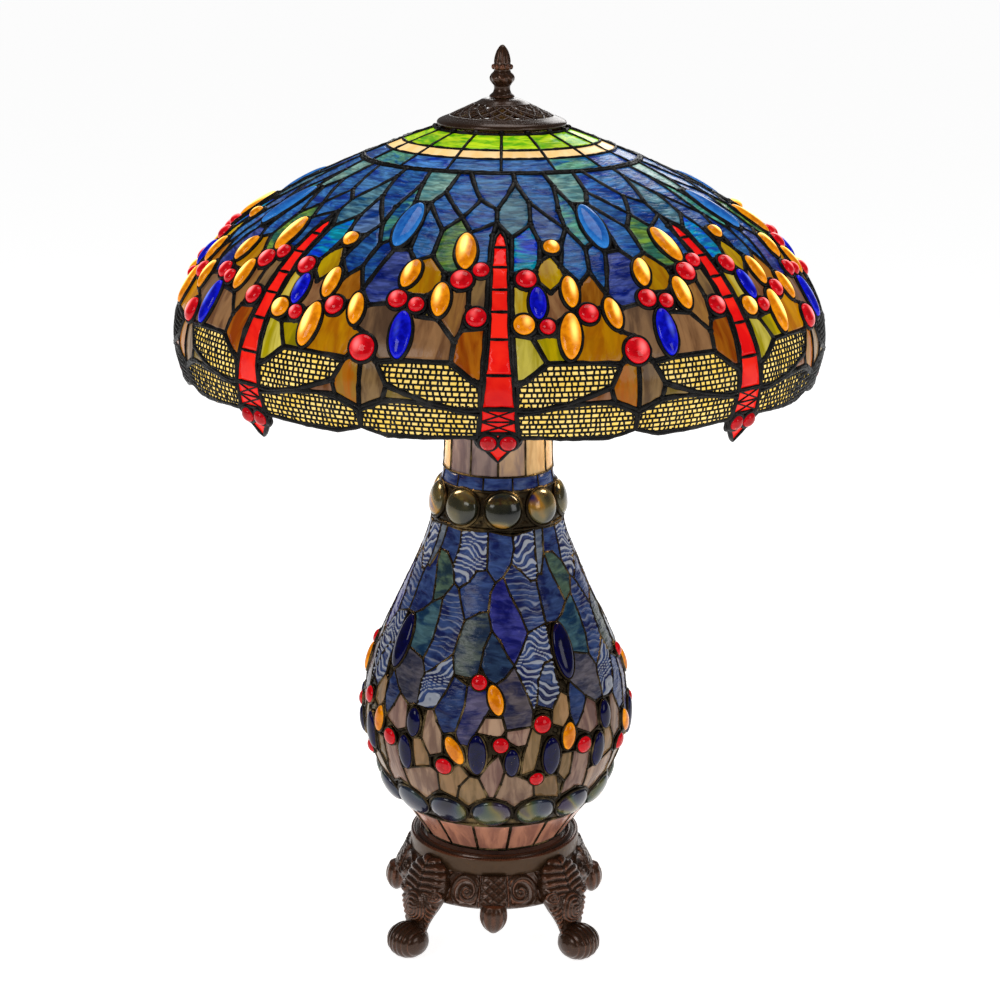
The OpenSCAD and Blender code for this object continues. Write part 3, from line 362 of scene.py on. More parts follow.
def pane_solid(track, outline, step, relief):
    """One curved pane of glass: points, faces, flat coordinates and relief at each point."""
    flat = Flat(track, outline)
    xy, faces = filled(flat.down(outline), step)
    height = relief(xy) if relief else np.zeros(len(xy))
    q = flat.up(xy)
    points, solid = thickened(track.at(q, height), track.at(q, -GLASS), faces)
    return points, solid, np.vstack([xy, xy]), np.concatenate([height, height])


def skewed(xy, angle, shift):
    """Flat coordinates turned and moved, so that each pane is cut from another part of the sheet."""
    c, s = math.cos(angle), math.sin(angle)
    turned = xy @ np.array([[c, s], [-s, c]])
    return np.hstack([(turned + shift) * MM, np.zeros((len(xy), 1))])


def add_panes(piece, track, outlines, repeats, look, lamps, reach, step=3.5, relief=None):
    """Every repeat of a set of panes. look(pane) gives (tint_a, tint_b, grain angle, brightness)."""
    for number, outline in enumerate(outlines):
        shape = relief(number) if relief else None
        points, faces, xy, height = pane_solid(track, outline, step, shape)
        for k in range(repeats):
            placed = turn(points, 360 / repeats * k)
            tint_a, tint_b, grain, bright = look(number)
            shift = (dice.uniform(-SHEET, SHEET), dice.uniform(-SHEET, SHEET))
            piece.add(placed, faces, surf=skewed(xy, grain, shift), tint_a=tint_a, tint_b=tint_b,
                      glow=bright * glow_at(placed, lamps, reach), relief=height)


# ---------------------------------------------------------------- lead and jewels
def bead(piece, track, path, half_w, half_h, lift, sides=8, closed=False):
    """A rounded, slightly uneven solder bead along places on the glass."""
    place, out, _, _ = track.frames(path)
    ahead = np.roll(place, -1, axis=0) - np.roll(place, 1, axis=0)
    if not closed:
        ahead[0], ahead[-1] = place[1] - place[0], place[-1] - place[-2]
    ahead /= np.linalg.norm(ahead, axis=1, keepdims=True)
    across = np.cross(ahead, out)
    across /= np.linalg.norm(across, axis=1, keepdims=True)
    swell = np.array([1 + 0.22 * noise.noise(Vector(p) * 0.21) + 0.1 * noise.noise(Vector(p) * 0.6)
                      for p in place])[:, None]
    rings = []
    for k in range(sides):
        a = 2 * math.pi * k / sides
        rings.append(place + out * (lift + half_h * swell * math.sin(a))
                     + across * half_w * swell * math.cos(a))
    faces, n = [], len(place)
    for i in range(n if closed else n - 1):
        faces += ring_quads(i, (i + 1) % n, sides)
    if not closed:
        faces += [tuple(range(sides - 1, -1, -1)), tuple((n - 1) * sides + k for k in range(sides))]
    piece.add(np.stack(rings, 1).reshape(-1, 3), faces)


def straight(track, a, b, step=4.0):
    """Places from a to b, about step apart."""
    a, b = np.asarray(a, float), np.asarray(b, float)
    k = track.mm_per_degree((a[1] + b[1]) / 2)
    n = max(1, round(math.hypot((b[0] - a[0]) * k, b[1] - a[1]) / step))
    return a + (b - a) * np.arange(n + 1)[:, None] / n


def blob(piece, track, q, radius, half_h, lift):
    """A low round bump of solder where beads meet."""
    place, out, side, up = (v[0] for v in track.frames(q))
    rings, sides = 4, 10
    points = [place + out * (lift - half_h)]
    for i in range(1, rings):
        a = math.pi * i / rings - math.pi / 2
        for k in range(sides):
            b = 2 * math.pi * k / sides
            points.append(place + out * (lift + half_h * math.sin(a))
                          + (side * math.cos(b) + up * math.sin(b)) * radius * math.cos(a))
    points.append(place + out * (lift + half_h))
    faces, top = [], len(points) - 1
    for k in range(sides):
        m = (k + 1) % sides
        faces.append((0, 1 + m, 1 + k))
        for i in range(rings - 2):
            a, b = 1 + i * sides, 1 + (i + 1) * sides
            faces.append((a + k, a + m, b + m, b + k))
        faces.append((top - sides + k, top - sides + m, top))
    piece.add(points, faces)


def shared_edges(at, panes, step):
    """Each edge of a pattern once, though two panes share it and the last repeat meets the first."""
    edges = {}
    for pane in panes:
        for a, b in zip(pane, pane[1:] + pane[:1]):
            if a >= NEXT and b >= NEXT:
                a, b = a - NEXT, b - NEXT
            ends = outline_of(at, (a, b), step)
            edges.setdefault(tuple(sorted((a, b))), ends)
    return list(edges.values())


# Solder fills are low and wide: half their height, and their middle below the face of the glass.
FILL_H, FILL_LIFT = 0.75, -1.1


def lead_net(piece, track, edges, repeats, half_w, half_h=2.2, lift=-1.15):
    """A bead along every edge of a pattern, with a blob where it starts."""
    for a, b in edges:
        for k in range(repeats):
            spin = np.array([360 / repeats * k, 0])
            bead(piece, track, straight(track, a + spin, b + spin), half_w, half_h, lift)
            blob(piece, track, a + spin, half_w * dice.uniform(1.15, 1.5), half_h + 0.25, lift)


def solder_fills(piece, track, fills, repeats):
    """Wide low beads that close the corners between panes."""
    for a, s, half_w, half_h in fills:
        for k in range(repeats):
            q = a + 360 / repeats * k
            bead(piece, track, straight(track, (q, s - half_h), (q, s + half_h), 2), half_w, FILL_H,
                 FILL_LIFT)


def lead_loop(piece, track, outline, repeats, half_w, half_h=2.3, lift=-1.1):
    """A bead round a closed outline, at each repeat."""
    legs = [straight(track, a, b)[:-1] for a, b in zip(outline, list(outline[1:]) + [outline[0]])]
    path = np.vstack(legs)
    for k in range(repeats):
        bead(piece, track, path + (360 / repeats * k, 0), half_w, half_h, lift, closed=True)


def lead_hoop(piece, track, s, half_w, half_h=2.3, lift=-1.1):
    """A bead all the way round the glass."""
    path = np.array([(a, s) for a in np.arange(0, 360, 1.5)])
    bead(piece, track, path, half_w, half_h, lift, closed=True)


def gem_outline(half_w, half_h, lean, count):
    """A round stone, or a long one whose ends are a little pointed, turned by lean."""
    a = circle(count)
    pinch = 0.0 if half_w > 0.9 * half_h else 0.1
    x, y = half_w * np.cos(a) * (1 - pinch * np.sin(a) ** 2), half_h * np.sin(a)
    c, s = math.cos(math.radians(lean)), math.sin(math.radians(lean))
    return np.stack([x * c + y * s, y * c - x * s], 1)


def stone(piece, track, jewel, rise, girdle, glow, hot=0.0, hot_at=(0.2, 0.3)):
    """A domed cabochon. hot is the strength of the lamp's image painted in it as a highlight, hot_at its
    place.
    """
    count, rings = 36, 9
    q, (half_w, half_h, lean) = jewel[:2], jewel[2:]
    place, out, side, up = (v[0] for v in track.frames(q))
    rim = gem_outline(half_w, half_h, lean, count)
    points, flat = [], []

    def ring(scale, height):
        for x, y in rim * scale:
            points.append(place + side * x + up * y + out * height)
            flat.append((x / half_w, y / half_h))

    ring(0.9, -2.6)
    ring(1.0, -1.8)
    for i in range(rings):
        a = math.pi / 2 * i / rings
        ring(math.cos(a), girdle + rise * math.sin(a))
    points.append(place + out * (girdle + rise))
    flat.append((0, 0))
    faces = [tuple(range(count - 1, -1, -1))]
    for i in range(rings + 1):
        faces += ring_quads(i, i + 1, count)
    last = (rings + 1) * count
    faces += [(last + k, last + (k + 1) % count, len(points) - 1) for k in range(count)]
    flat = np.array(flat)
    spot = hot * np.exp(-(((flat - hot_at) * (1.9, 1.25)) ** 2).sum(1))
    # How near the rim each point lies, which the material paints brighter.
    edge = np.clip((flat**2).sum(1), 0, 1) ** 3
    cut = (flat * (half_w, half_h) + (dice.uniform(-SHEET, SHEET), 0)) * MM
    surf = np.hstack([cut, np.zeros((len(flat), 1))])
    piece.add(points, faces, surf=surf, hot=spot, rim=edge, glow=glow)


def copies(jewels, repeats):
    """Each jewel in turn, at every repeat."""
    return [(jewel[0] + 360 / repeats * k, *jewel[1:]) for jewel in jewels for k in range(repeats)]


def solder_ring(piece, track, jewel, grow, half_w, half_h, lift, count):
    """A closed bead that runs round a stone, grow outside its edge."""
    q, (wide, high, lean) = np.array(jewel[:2]), jewel[2:]
    rim = gem_outline(wide + grow, high + grow, lean, count)
    bead(piece, track, q + rim / (track.mm_per_degree(q[1]), -1), half_w, half_h, lift, closed=True)


def solder_in(piece, track, jewels, repeats, thick, lift, reach):
    """Round each stone a raised bezel, and solder run in level with the glass to close the gaps."""
    for jewel in copies(jewels, repeats):
        solder_ring(piece, track, jewel, thick * 0.6, thick, 1.7, lift, 32)
        solder_ring(piece, track, jewel, reach * 0.45, reach * 0.6, 0.7, -1.1, 28)


# ---------------------------------------------------------------- materials
class Nodes:
    """A material under construction: add() makes a node, feed() sets or joins a socket."""

    def __init__(self, name, **inputs):
        self.material = bpy.data.materials.new(name)
        self.material.use_nodes = True
        self.tree = self.material.node_tree
        self.shader = self.tree.nodes["Principled BSDF"]
        for key, value in inputs.items():
            self.shader.inputs[key.replace("_", " ")].default_value = value

    def add(self, kind, settings=None, **inputs):
        made = self.tree.nodes.new("ShaderNode" + kind)
        for key, value in (settings or {}).items():
            setattr(made, key, value)
        for key, value in inputs.items():
            self.feed(made.inputs[key.replace("_", " ")], value)
        return made

    def feed(self, socket, value):
        if isinstance(value, bpy.types.NodeSocket):
            self.tree.links.new(value, socket)
        else:
            socket.default_value = value

    def attribute(self, name, output="Color"):
        return self.add("Attribute", {"attribute_name": name}).outputs[output]

    def place(self):
        return self.add("TexCoord").outputs["Object"]

    def noise(self, vector, scale, stretch=(1, 1, 1), detail=3.0, distortion=0.0):
        spread = self.add("Mapping", Vector=vector, Scale=stretch).outputs[0]
        return self.add("TexNoise", Vector=spread, Scale=scale, Detail=detail, Roughness=0.55,
                        Distortion=distortion).outputs["Fac"]

    def ramp(self, value, low, high, to=(0.0, 1.0)):
        return self.add("MapRange", {"interpolation_type": "SMOOTHSTEP"}, Value=value, From_Min=low,
                        From_Max=high, To_Min=to[0], To_Max=to[1]).outputs[0]

    def maths(self, operation, a, b=0.0):
        made = self.add("Math", {"operation": operation})
        self.feed(made.inputs[0], a)
        self.feed(made.inputs[1], b)
        return made.outputs[0]

    def mix(self, factor, a, b, blend="MIX"):
        made = self.add("Mix", {"data_type": "RGBA", "blend_type": blend})
        self.feed(made.inputs[0], factor)
        self.feed(made.inputs[6], a if isinstance(a, bpy.types.NodeSocket) else (*a, 1.0))
        self.feed(made.inputs[7], b if isinstance(b, bpy.types.NodeSocket) else (*b, 1.0))
        return made.outputs[2]

    def bump(self, height, strength, distance):
        made = self.add("Bump", Strength=strength, Distance=distance, Height=height).outputs[0]
        self.feed(self.shader.inputs["Normal"], made)
        return made

    def set(self, **inputs):
        for key, value in inputs.items():
            self.feed(self.shader.inputs[key.replace("_", " ")], value)


def sheet_glass(name, streak, ripple, ripple_light, bump, gain, share=0.2, ridge_highlight=None):
    """Hand-rolled glass cut into panes: streaks of two tints, ripples, and light through it.

    streak and ripple are (scale, stretch); ripple_light paints the ripple crests brighter; the last argument
    is the colour of a painted highlight on raised ridges.
    """
    m = Nodes(name, Roughness=0.18, Specular_IOR_Level=0.16, Coat_Weight=0.03, Coat_Roughness=0.06)
    surf = m.attribute("surf", "Vector")
    flow = m.ramp(m.noise(surf, streak[0], streak[1], detail=4, distortion=0.7), 0.36, 0.62)
    wave = m.noise(surf, ripple[0], ripple[1], detail=2.5, distortion=0.35)
    colour = m.mix(flow, m.attribute("tint_a"), m.attribute("tint_b"))
    # Painted light: the crests of the ripples are made up to ripple_light times brighter.
    crest = m.ramp(wave, 0.42, 0.62, to=(1.0, ripple_light))
    lit = m.mix(1.0, colour, m.add("CombineColor", Red=crest, Green=crest, Blue=crest).outputs[0],
                "MULTIPLY")
    if ridge_highlight:
        # Painted highlight: the tops of raised ridges are turned towards a pale colour.
        top = m.ramp(m.attribute("relief", "Fac"), 0.1, 0.5)
        lit = m.mix(m.maths("MULTIPLY", top, 0.6), lit, ridge_highlight)
    dim = m.mix(1.0, lit, (share, share, share), "MULTIPLY")
    m.set(Base_Color=dim, Emission_Color=lit,
          Emission_Strength=m.maths("MULTIPLY", m.attribute("glow", "Fac"), gain))
    m.bump(wave, 0.6, bump)
    return m.material


def stone_glass(name, deep, bright, lamp_image_colour, gain, rim_light=0.6):
    """A polished cabochon: deep colour, painted brighter at its rim, with the lamp's image painted in it as a
    highlight.
    """
    m = Nodes(name, Roughness=0.07, Specular_IOR_Level=0.22, Coat_Weight=0.06, Coat_Roughness=0.03)
    surf = m.attribute("surf", "Vector")
    cloud = m.ramp(m.noise(surf, 240, detail=3), 0.35, 0.7)
    # Painted light: the rim is made brighter by rim_light.
    rim = m.maths("MULTIPLY", m.attribute("rim", "Fac"), rim_light)
    tone = m.mix(m.maths("ADD", m.maths("MULTIPLY", cloud, 0.45), rim), deep, bright)
    hot = m.attribute("hot", "Fac")
    # Painted highlight: the lamp's image is mixed in where hot is high, and it adds to the emission.
    seen = m.mix(m.ramp(hot, 0.15, 1.0), tone, lamp_image_colour)
    strength = m.maths("ADD", m.maths("MULTIPLY", m.attribute("glow", "Fac"), gain),
                       m.maths("MULTIPLY", hot, 1.6))
    m.set(Base_Color=m.mix(0.25, deep, tone), Emission_Color=seen, Emission_Strength=strength)
    m.bump(m.noise(surf, 500, detail=2), 0.08, 0.0006)
    return m.material


def solder(name, dark, worn, metallic=0.85, roughness=0.34):
    """Patinated solder: dark, with rubbed high spots and a lumpy skin."""
    m = Nodes(name, Metallic=metallic, Specular_IOR_Level=0.25)
    place = m.place()
    lumps = m.noise(place, 260, detail=4)
    patch = m.ramp(m.noise(place, 60, detail=3), 0.5, 0.72)
    m.set(Base_Color=m.mix(m.maths("MULTIPLY", patch, 0.8), dark, worn),
          Roughness=m.ramp(lumps, 0.3, 0.7, to=(roughness - 0.08, roughness + 0.16)))
    m.bump(lumps, 0.7, 0.0011)
    return m.material


def cast_metal(name, dark, worn, roughness=0.4, metallic=0.7, grain=900, lacquer=0.08):
    """Cast and patinated metal, rubbed bright on its edges."""
    m = Nodes(name, Metallic=metallic, Specular_IOR_Level=0.3, Coat_Weight=lacquer, Coat_Roughness=0.14)
    place = m.place()
    edge = m.ramp(m.add("NewGeometry").outputs["Pointiness"], 0.5, 0.56)
    smear = m.ramp(m.noise(place, 45, detail=5), 0.35, 0.7, to=(0.25, 1.0))
    tone = m.mix(m.maths("MULTIPLY", edge, smear), dark, worn)
    grit = m.noise(place, grain, detail=3)
    m.set(Base_Color=tone, Roughness=m.ramp(grit, 0.3, 0.7, to=(roughness - 0.08, roughness + 0.1)))
    m.bump(grit, 0.25, 0.0004)
    return m.material


TARNISH = (0.12, 0.07, 0.03)


def plain_metal(name, colour, roughness):
    """Turned fittings with a little tarnish."""
    m = Nodes(name, Metallic=1.0, Specular_IOR_Level=0.5)
    place = m.place()
    spots = m.ramp(m.noise(place, 120, detail=5), 0.45, 0.8)
    m.set(Base_Color=m.mix(m.maths("MULTIPLY", spots, 0.6), colour, TARNISH),
          Roughness=m.ramp(spots, 0, 1, to=(roughness, roughness + 0.2)))
    m.bump(m.noise(place, 700, detail=2), 0.15, 0.0002)
    return m.material


def lamp_glass(name, colour, strength):
    """Frosted lamp glass, lit from inside."""
    m = Nodes(name, Roughness=0.35, Emission_Strength=strength)
    place = m.place()
    frost = m.ramp(m.noise(place, 300, detail=4), 0.3, 0.7)
    m.set(Base_Color=m.mix(frost, colour, (1, 1, 1)), Emission_Color=m.mix(frost, colour, (1, 0.93, 0.8)))
    m.bump(frost, 0.1, 0.0002)
    return m.material


def moulded(name, colour, roughness):
    """Moulded plastic or porcelain with a faint orange-peel skin."""
    m = Nodes(name, Roughness=roughness)
    place = m.place()
    shade = m.ramp(m.noise(place, 80, detail=3), 0.3, 0.7)
    m.set(Base_Color=m.mix(shade, colour, tuple(c * 0.8 for c in colour)))
    m.bump(m.noise(place, 1400, detail=2), 0.12, 0.0002)
    return m.material


def dress(node, material):
    """Gives a carried-over CAD node its finish."""
    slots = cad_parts[node].data.materials
    slots.clear()
    slots.append(material)


# ---------------------------------------------------------------- glass colours
def pair(a, b, grain=0.0, bright=1.0):
    """A look: two display colours that streak together, the angle of the streaks, the brightness."""
    return srgb(*a), srgb(*b), grain, bright


SKY_BLUE = pair((8, 44, 112), (58, 100, 150))
SKY_LOOKS = {0: pair((70, 112, 118), (120, 150, 140)), 2: pair((10, 48, 118), (70, 108, 150)),
             4: pair((22, 62, 96), (84, 118, 130)), 7: pair((40, 84, 70), (104, 134, 60)),
             9: pair((4, 58, 170), (40, 130, 150)), 10: pair((10, 50, 112), (88, 112, 150)),
             11: pair((6, 64, 120), (80, 140, 120)), 14: pair((20, 30, 96), (66, 76, 130))}
EARTH_LOOKS = [pair(*colours) for colours in (
    ((150, 104, 8), (166, 128, 34)), ((94, 76, 62), (136, 112, 84)), ((108, 76, 58), (146, 112, 78)),
    ((96, 70, 54), (140, 110, 86)), ((126, 66, 30), (160, 104, 66)), ((88, 70, 58), (128, 104, 84)),
    ((176, 146, 44), (200, 184, 116)), ((158, 146, 50), (204, 192, 120)),
    ((136, 126, 10), (178, 158, 40)), ((152, 118, 10), (184, 158, 54)),
    ((104, 72, 56), (138, 108, 84)), ((120, 74, 34), (152, 106, 66)), ((158, 104, 2), (180, 132, 30)),
    ((160, 98, 4), (150, 116, 70)), ((96, 76, 58), (144, 120, 92)), ((110, 74, 52), (140, 108, 90)),
    ((108, 94, 56), (136, 116, 86)))]
RIPPLE_BLUE = pair((14, 22, 66), (44, 62, 104))
RIPPLE_LOOKS = {2: pair((26, 44, 56), (66, 86, 72)), 13: pair((24, 38, 60), (70, 78, 74)),
                14: pair((10, 18, 44), (34, 52, 78)), 9: pair((12, 16, 84), (50, 52, 120)),
                11: pair((14, 40, 66), (56, 84, 92)), 0: pair((52, 62, 84), (92, 100, 110)),
                12: pair((40, 42, 60), (80, 76, 84)), 18: pair((30, 32, 60), (84, 76, 80)),
                20: pair((20, 26, 76), (84, 78, 104))}
DRAPERY = (4, 6, 15, 16, 17)
HALF_DRAPERY = (7, 10)
BROWN_LOOKS = [pair(*colours) for colours in (
    ((116, 84, 76), (160, 128, 110)), ((124, 94, 78), (170, 138, 112)),
    ((124, 96, 62), (158, 122, 84)), ((116, 92, 58), (150, 120, 84)))]


def varied(look, spread=0.14, swing=0.12, vivid=1.0):
    """One pane's colours: the look with a little difference from pane to pane."""
    tint_a, tint_b, grain, bright = look
    k = 1 + dice.uniform(-spread, spread)
    pure = [tuple(max(0.0, sum(t) / 3 + (c - sum(t) / 3) * vivid) * k for c in t)
            for t in (tint_a, tint_b)]
    return (*pure, grain + dice.uniform(-swing, swing), bright)


def drapery(depth, pitch, wander, angle):
    """Folded drapery glass: raised ridges that wander and fork."""
    c, s = math.cos(angle), math.sin(angle)
    shift = dice.uniform(0, 500)

    def height(xy):
        rows = []
        for x, y in xy:
            bend = noise.noise(Vector((x * 0.075 + shift, y * 0.075, 0.3)))
            fork = noise.noise(Vector((x * 0.16, y * 0.16 + shift, 2.1)))
            rows.append((y * c + x * s + wander * bend + 1.4 * fork) / pitch)
        crest = np.sin(2 * math.pi * np.array(rows))
        return depth * np.clip(crest, -0.25, 1)
    return height


def ripple_relief(number):
    """The surface of one blue pane: deep folds on some, low ones on the rest."""
    if number in DRAPERY:
        return drapery(0.8, 4.2, 10, dice.uniform(-0.35, 0.35))
    if number in HALF_DRAPERY:
        return drapery(0.32, 4.2, 5, dice.uniform(-0.2, 0.2))
    return drapery(0.32, 5.6, 9, dice.uniform(-0.25, 0.25))


# ---------------------------------------------------------------- the shade
def shade_glass():
    sky = sheet_glass("sky_glass", (46, (1, 2.6, 1)), (215, (0.5, 1.7, 1)), 1.9, 0.0012, 0.72)
    earth = sheet_glass("earth_glass", (42, (2.6, 0.5, 1)), (120, (1.6, 0.6, 1)), 1.12, 0.0006, 0.95)
    lime = sheet_glass("lime_glass", (90, (0.8, 2.2, 1)), (110, (0.6, 1.6, 1)), 1.2, 0.0007, 1.05)
    cream = sheet_glass("cream_glass", (60, (2, 0.8, 1)), (120, (1, 1, 1)), 1.06, 0.0003, 1.0)
    red = sheet_glass("tail_glass", (30, (1, 1, 1)), (60, (1, 1, 1)), 1.05, 0.0002, 1.0)
    wing = sheet_glass("wing_glass", (70, (1, 1, 1)), (90, (1, 1, 1)), 1.08, 0.0003, 1.45)
    return sky, earth, lime, cream, red, wing


def band_outlines(band, offset=0.5):
    """The panes of a band, which start offset of a pane round from the front."""
    count, s0, s1 = band
    half = 180 / count
    middles = [2 * half * (i + offset) for i in range(count)]
    return [[(a - half, s0), (a + half, s0), (a + half, s1), (a - half, s1)] for a in middles]


def spokes(count, s0, s1, first=0):
    """The straight came between the panes of a band."""
    return [((first + a, s0), (first + a, s1)) for a in np.arange(count) * 360 / count]


def glaze(name, track, outlines, repeats, look, lamps, reach, glass, slot, nodes, **options):
    """One piece of panes, in the shade or in the body."""
    panes = Piece(name)
    add_panes(panes, track, outlines, repeats, look, lamps, reach, **options)
    panes.make(glass, "shade" if track is SHADE else "base", nodes)


def tail_outlines():
    rows = [[(-a[1], a[0]), (a[1], a[0]), (b[1], b[0]), (-b[1], b[0])] for a, b in zip(TAIL, TAIL[1:])]
    (left, right, low_right, low_left), tip = rows[0], TAIL[0][1]
    rows[0] = [(-0.15, left[1] - 1.5), (0.15, right[1] - 1.5), (tip, right[1] + 4), low_right, low_left,
               (-tip, left[1] + 4)]
    return rows + [THORAX, HEAD]


def build_shade():
    """Every pane of the shade. Gives back the outlines of one repeat's four wings."""
    sky, earth, lime, cream, red, wing = shade_glass()
    wings = [UPPER_WING, LOWER_WING, mirrored(UPPER_WING)[::-1], mirrored(LOWER_WING)[::-1]]
    mixed = (SKY_BLUE, pair((10, 84, 130), (90, 150, 120)), pair((6, 40, 130), (60, 110, 170)))
    for name, outlines, repeats, look, glass, slot, node in (
            ("sky_glass", patterned(SHADE_AT, SKY, SHADE_STEP), SHADE_REPEATS,
             lambda n: varied(SKY_LOOKS.get(n, SKY_BLUE), vivid=1.15), sky, "sky_glass", "sky_panes"),
            ("blue_band_glass", band_outlines(BLUE_BAND), 1, lambda n: varied(mixed[n % 3]),
             sky, "sky_glass", "blue_band_panes"),
            ("earth_glass", patterned(SHADE_AT, EARTH, SHADE_STEP), SHADE_REPEATS,
             lambda n: varied(EARTH_LOOKS[n], vivid=1.4), earth, "earth_glass", "earth_panes"),
            ("green_glass", band_outlines(GREEN_BAND), 1,
             lambda n: varied(pair((84, 160, 2), (176, 206, 20))), lime, "green_glass", "green_panes"),
            ("cream_glass", band_outlines(CREAM_BAND), 1,
             lambda n: varied(pair((250, 204, 130), (255, 216, 156)), 0.08),
             cream, "cream_glass", "cream_panes"),
            ("tail_glass", tail_outlines(), SHADE_REPEATS,
             lambda n: varied(pair((232, 10, 14), (255, 40, 24), 0, 1.15), 0.1),
             red, "red_glass", "tail_panes"),
            ("wing_glass", wings, SHADE_REPEATS,
             lambda n: varied(pair((248, 208, 92), (255, 222, 130)), 0.06),
             wing, "wing_glass", "wing_panes")):
        glaze(name, SHADE, outlines, repeats, look, BULBS, 205, glass, slot, [node])
    return wings


def build_shade_lead(wings):
    black = solder("black_solder", (0.004, 0.0035, 0.0035), (0.03, 0.028, 0.026), 0.35, 0.42)
    net = Piece("shade_leading")
    edges = shared_edges(SHADE_AT, SKY + EARTH, SHADE_STEP)
    lead_net(net, SHADE, edges, SHADE_REPEATS, 2.1)
    for s, half_w in ((3, 1.6), (26.5, 1.3), (38, 1.3), (54.8, 1.9)):
        lead_hoop(net, SHADE, s, half_w)
    lead_net(net, SHADE, spokes(16, 2, 55), 1, 1.35)
    solder_fills(net, SHADE, SHADE_FILLS, SHADE_REPEATS)
    net.make(black, "shade", ["band_came", "sky_foil", "earth_foil"])
    frames = Piece("dragonfly_leading")
    for outline in wings:
        lead_loop(frames, SHADE, outline, SHADE_REPEATS, 1.75, 2.4)
    for outline in tail_outlines():
        lead_loop(frames, SHADE, outline, SHADE_REPEATS, 1.35, 2.4)
    frames.make(black, "shade", ["wing_foil", "tail_foil", "head_foil", "rim_wire"])
    return black


def crossings(outline, y):
    """Where the level line y crosses an outline, left and right."""
    hits = [a[0] + (b[0] - a[0]) * (y - a[1]) / (b[1] - a[1])
            for a, b in zip(outline, np.roll(outline, -1, axis=0)) if (a[1] - y) * (b[1] - y) < 0]
    return (min(hits), max(hits)) if len(hits) > 1 else None


def build_filigree(black, wings, row=3.2, cell=3.7, half_w=0.74):
    """Pierced metal over the wings in courses like brickwork, and a cross over each thorax."""
    lace = Piece("wing_filigree")
    for outline in wings:
        flat = Flat(SHADE, outline)
        shape = flat.down(outline)
        low, high = shape[:, 1].min(), shape[:, 1].max()
        levels = np.arange(low + row * 0.6, high, row)
        strips = []
        for y in levels:
            ends = crossings(shape, y)
            if ends and ends[1] - ends[0] > 3:
                strips.append([(x, y) for x in np.arange(*ends, 3.0)] + [(ends[1], y)])
        for n, y in enumerate(np.append(low, levels)):
            middle = crossings(shape, min(y + row / 2, high - 0.1))
            if middle:
                x = middle[0] + cell * (0.5 + 0.5 * (n % 2))
                while x < middle[1] - 1:
                    lean = dice.uniform(-0.8, 0.8)
                    strips.append([(x, max(y, low + 0.3)), (x + lean, min(y + row, high - 0.3))])
                    x += cell * dice.uniform(0.7, 1.35)
        for strip in strips:
            path = flat.up(np.array(strip, float))
            for k in range(SHADE_REPEATS):
                bead(lace, SHADE, path + (SHADE_STEP * k, 0), half_w, 0.7, 0.15, sides=5)
    corner = np.array(THORAX, float)
    waist = (corner[:2][::-1] + corner[2:]) / 2
    bars = [(corner[0], waist[0]), (corner[1], waist[1]), (waist[0], waist[1]), (waist[1], corner[2]),
            (waist[0], corner[3])]
    for a, b in bars:
        for k in range(SHADE_REPEATS):
            bead(lace, SHADE, straight(SHADE, a, b, 3.0) + (SHADE_STEP * k, 0), 0.6, 0.8, 0.15, sides=5)
    lace.make(black, "shade")


def lamp_in_stone(track, q):
    """How near the nearest bulb is, 0 to 1, and the side of the stone that faces it."""
    place, _, side, up = (v[0] for v in track.frames(q))
    lamp = min(BULBS, key=lambda bulb: np.linalg.norm(bulb - place))
    away = lamp - place
    near = math.exp(-((max(np.linalg.norm(away) - 120, 0) / 110) ** 2))
    facing = np.array([away @ side, away @ up])
    return near, 0.35 * facing / max(np.linalg.norm(facing), 1e-6)


def set_stones(name, track, jewels, repeats, rise, glow, hot, glass, slot, node, girdle=1.3):
    """One piece of cabochons, each with the lamp's image painted on the side nearest a bulb."""
    stones = Piece(name)
    for jewel in copies(jewels, repeats):
        near, facing = lamp_in_stone(track, jewel[:2])
        stone(stones, track, jewel, rise, girdle, glow, hot * near, facing)
    stones.make(glass, "shade" if track is SHADE else "base", [node])


def build_shade_stones(black):
    amber = stone_glass("amber_glass", (0.34, 0.085, 0.0), (0.9, 0.33, 0.004), (1.0, 0.64, 0.15), 0.9)
    red = stone_glass("red_glass", (0.26, 0.0, 0.002), (0.72, 0.004, 0.012), (1.0, 0.2, 0.2), 0.9)
    cobalt = stone_glass("cobalt_glass", (0.0, 0.0, 0.16), (0.006, 0.012, 0.75), (0.25, 0.38, 1.0), 1.0)
    azure = stone_glass("azure_glass", (0.003, 0.055, 0.25), (0.03, 0.2, 0.55), (0.4, 0.7, 1.0), 1.0, 0.9)
    for name, jewels, *look in (
            ("amber_stones", AMBER, 3.2, 0.85, 1.6, amber, "amber_glass", "shade_amber_jewels"),
            ("red_stones", RED, 3.6, 0.8, 1.15, red, "red_glass", "shade_red_jewels"),
            ("cobalt_stones", COBALT, 3.2, 0.75, 0.6, cobalt, "cobalt_glass", "shade_cobalt_jewels"),
            ("azure_stones", BLUE_OVALS, 3.2, 0.8, 0.0, azure, "oval_blue_glass", "shade_blue_ovals"),
            ("eye_stones", EYES, 3.4, 0.55, 0, red, "red_glass", "dragonfly_eyes")):
        set_stones(name, SHADE, jewels, SHADE_REPEATS, *look)
    rims = Piece("stone_rims")
    solder_in(rims, SHADE, AMBER + RED + COBALT + BLUE_OVALS + EYES, SHADE_REPEATS, 1.35, 0.2, 3.6)
    rims.make(black, "shade")
    return amber, red


# ---------------------------------------------------------------- the glass body
NIGHT = [NIGHT_BULB, *(bulb * (0.6, 1, 1) for bulb in BULBS)]
# The middle of the body's lead, below the face of the glass.
CAME_LIFT = -0.85


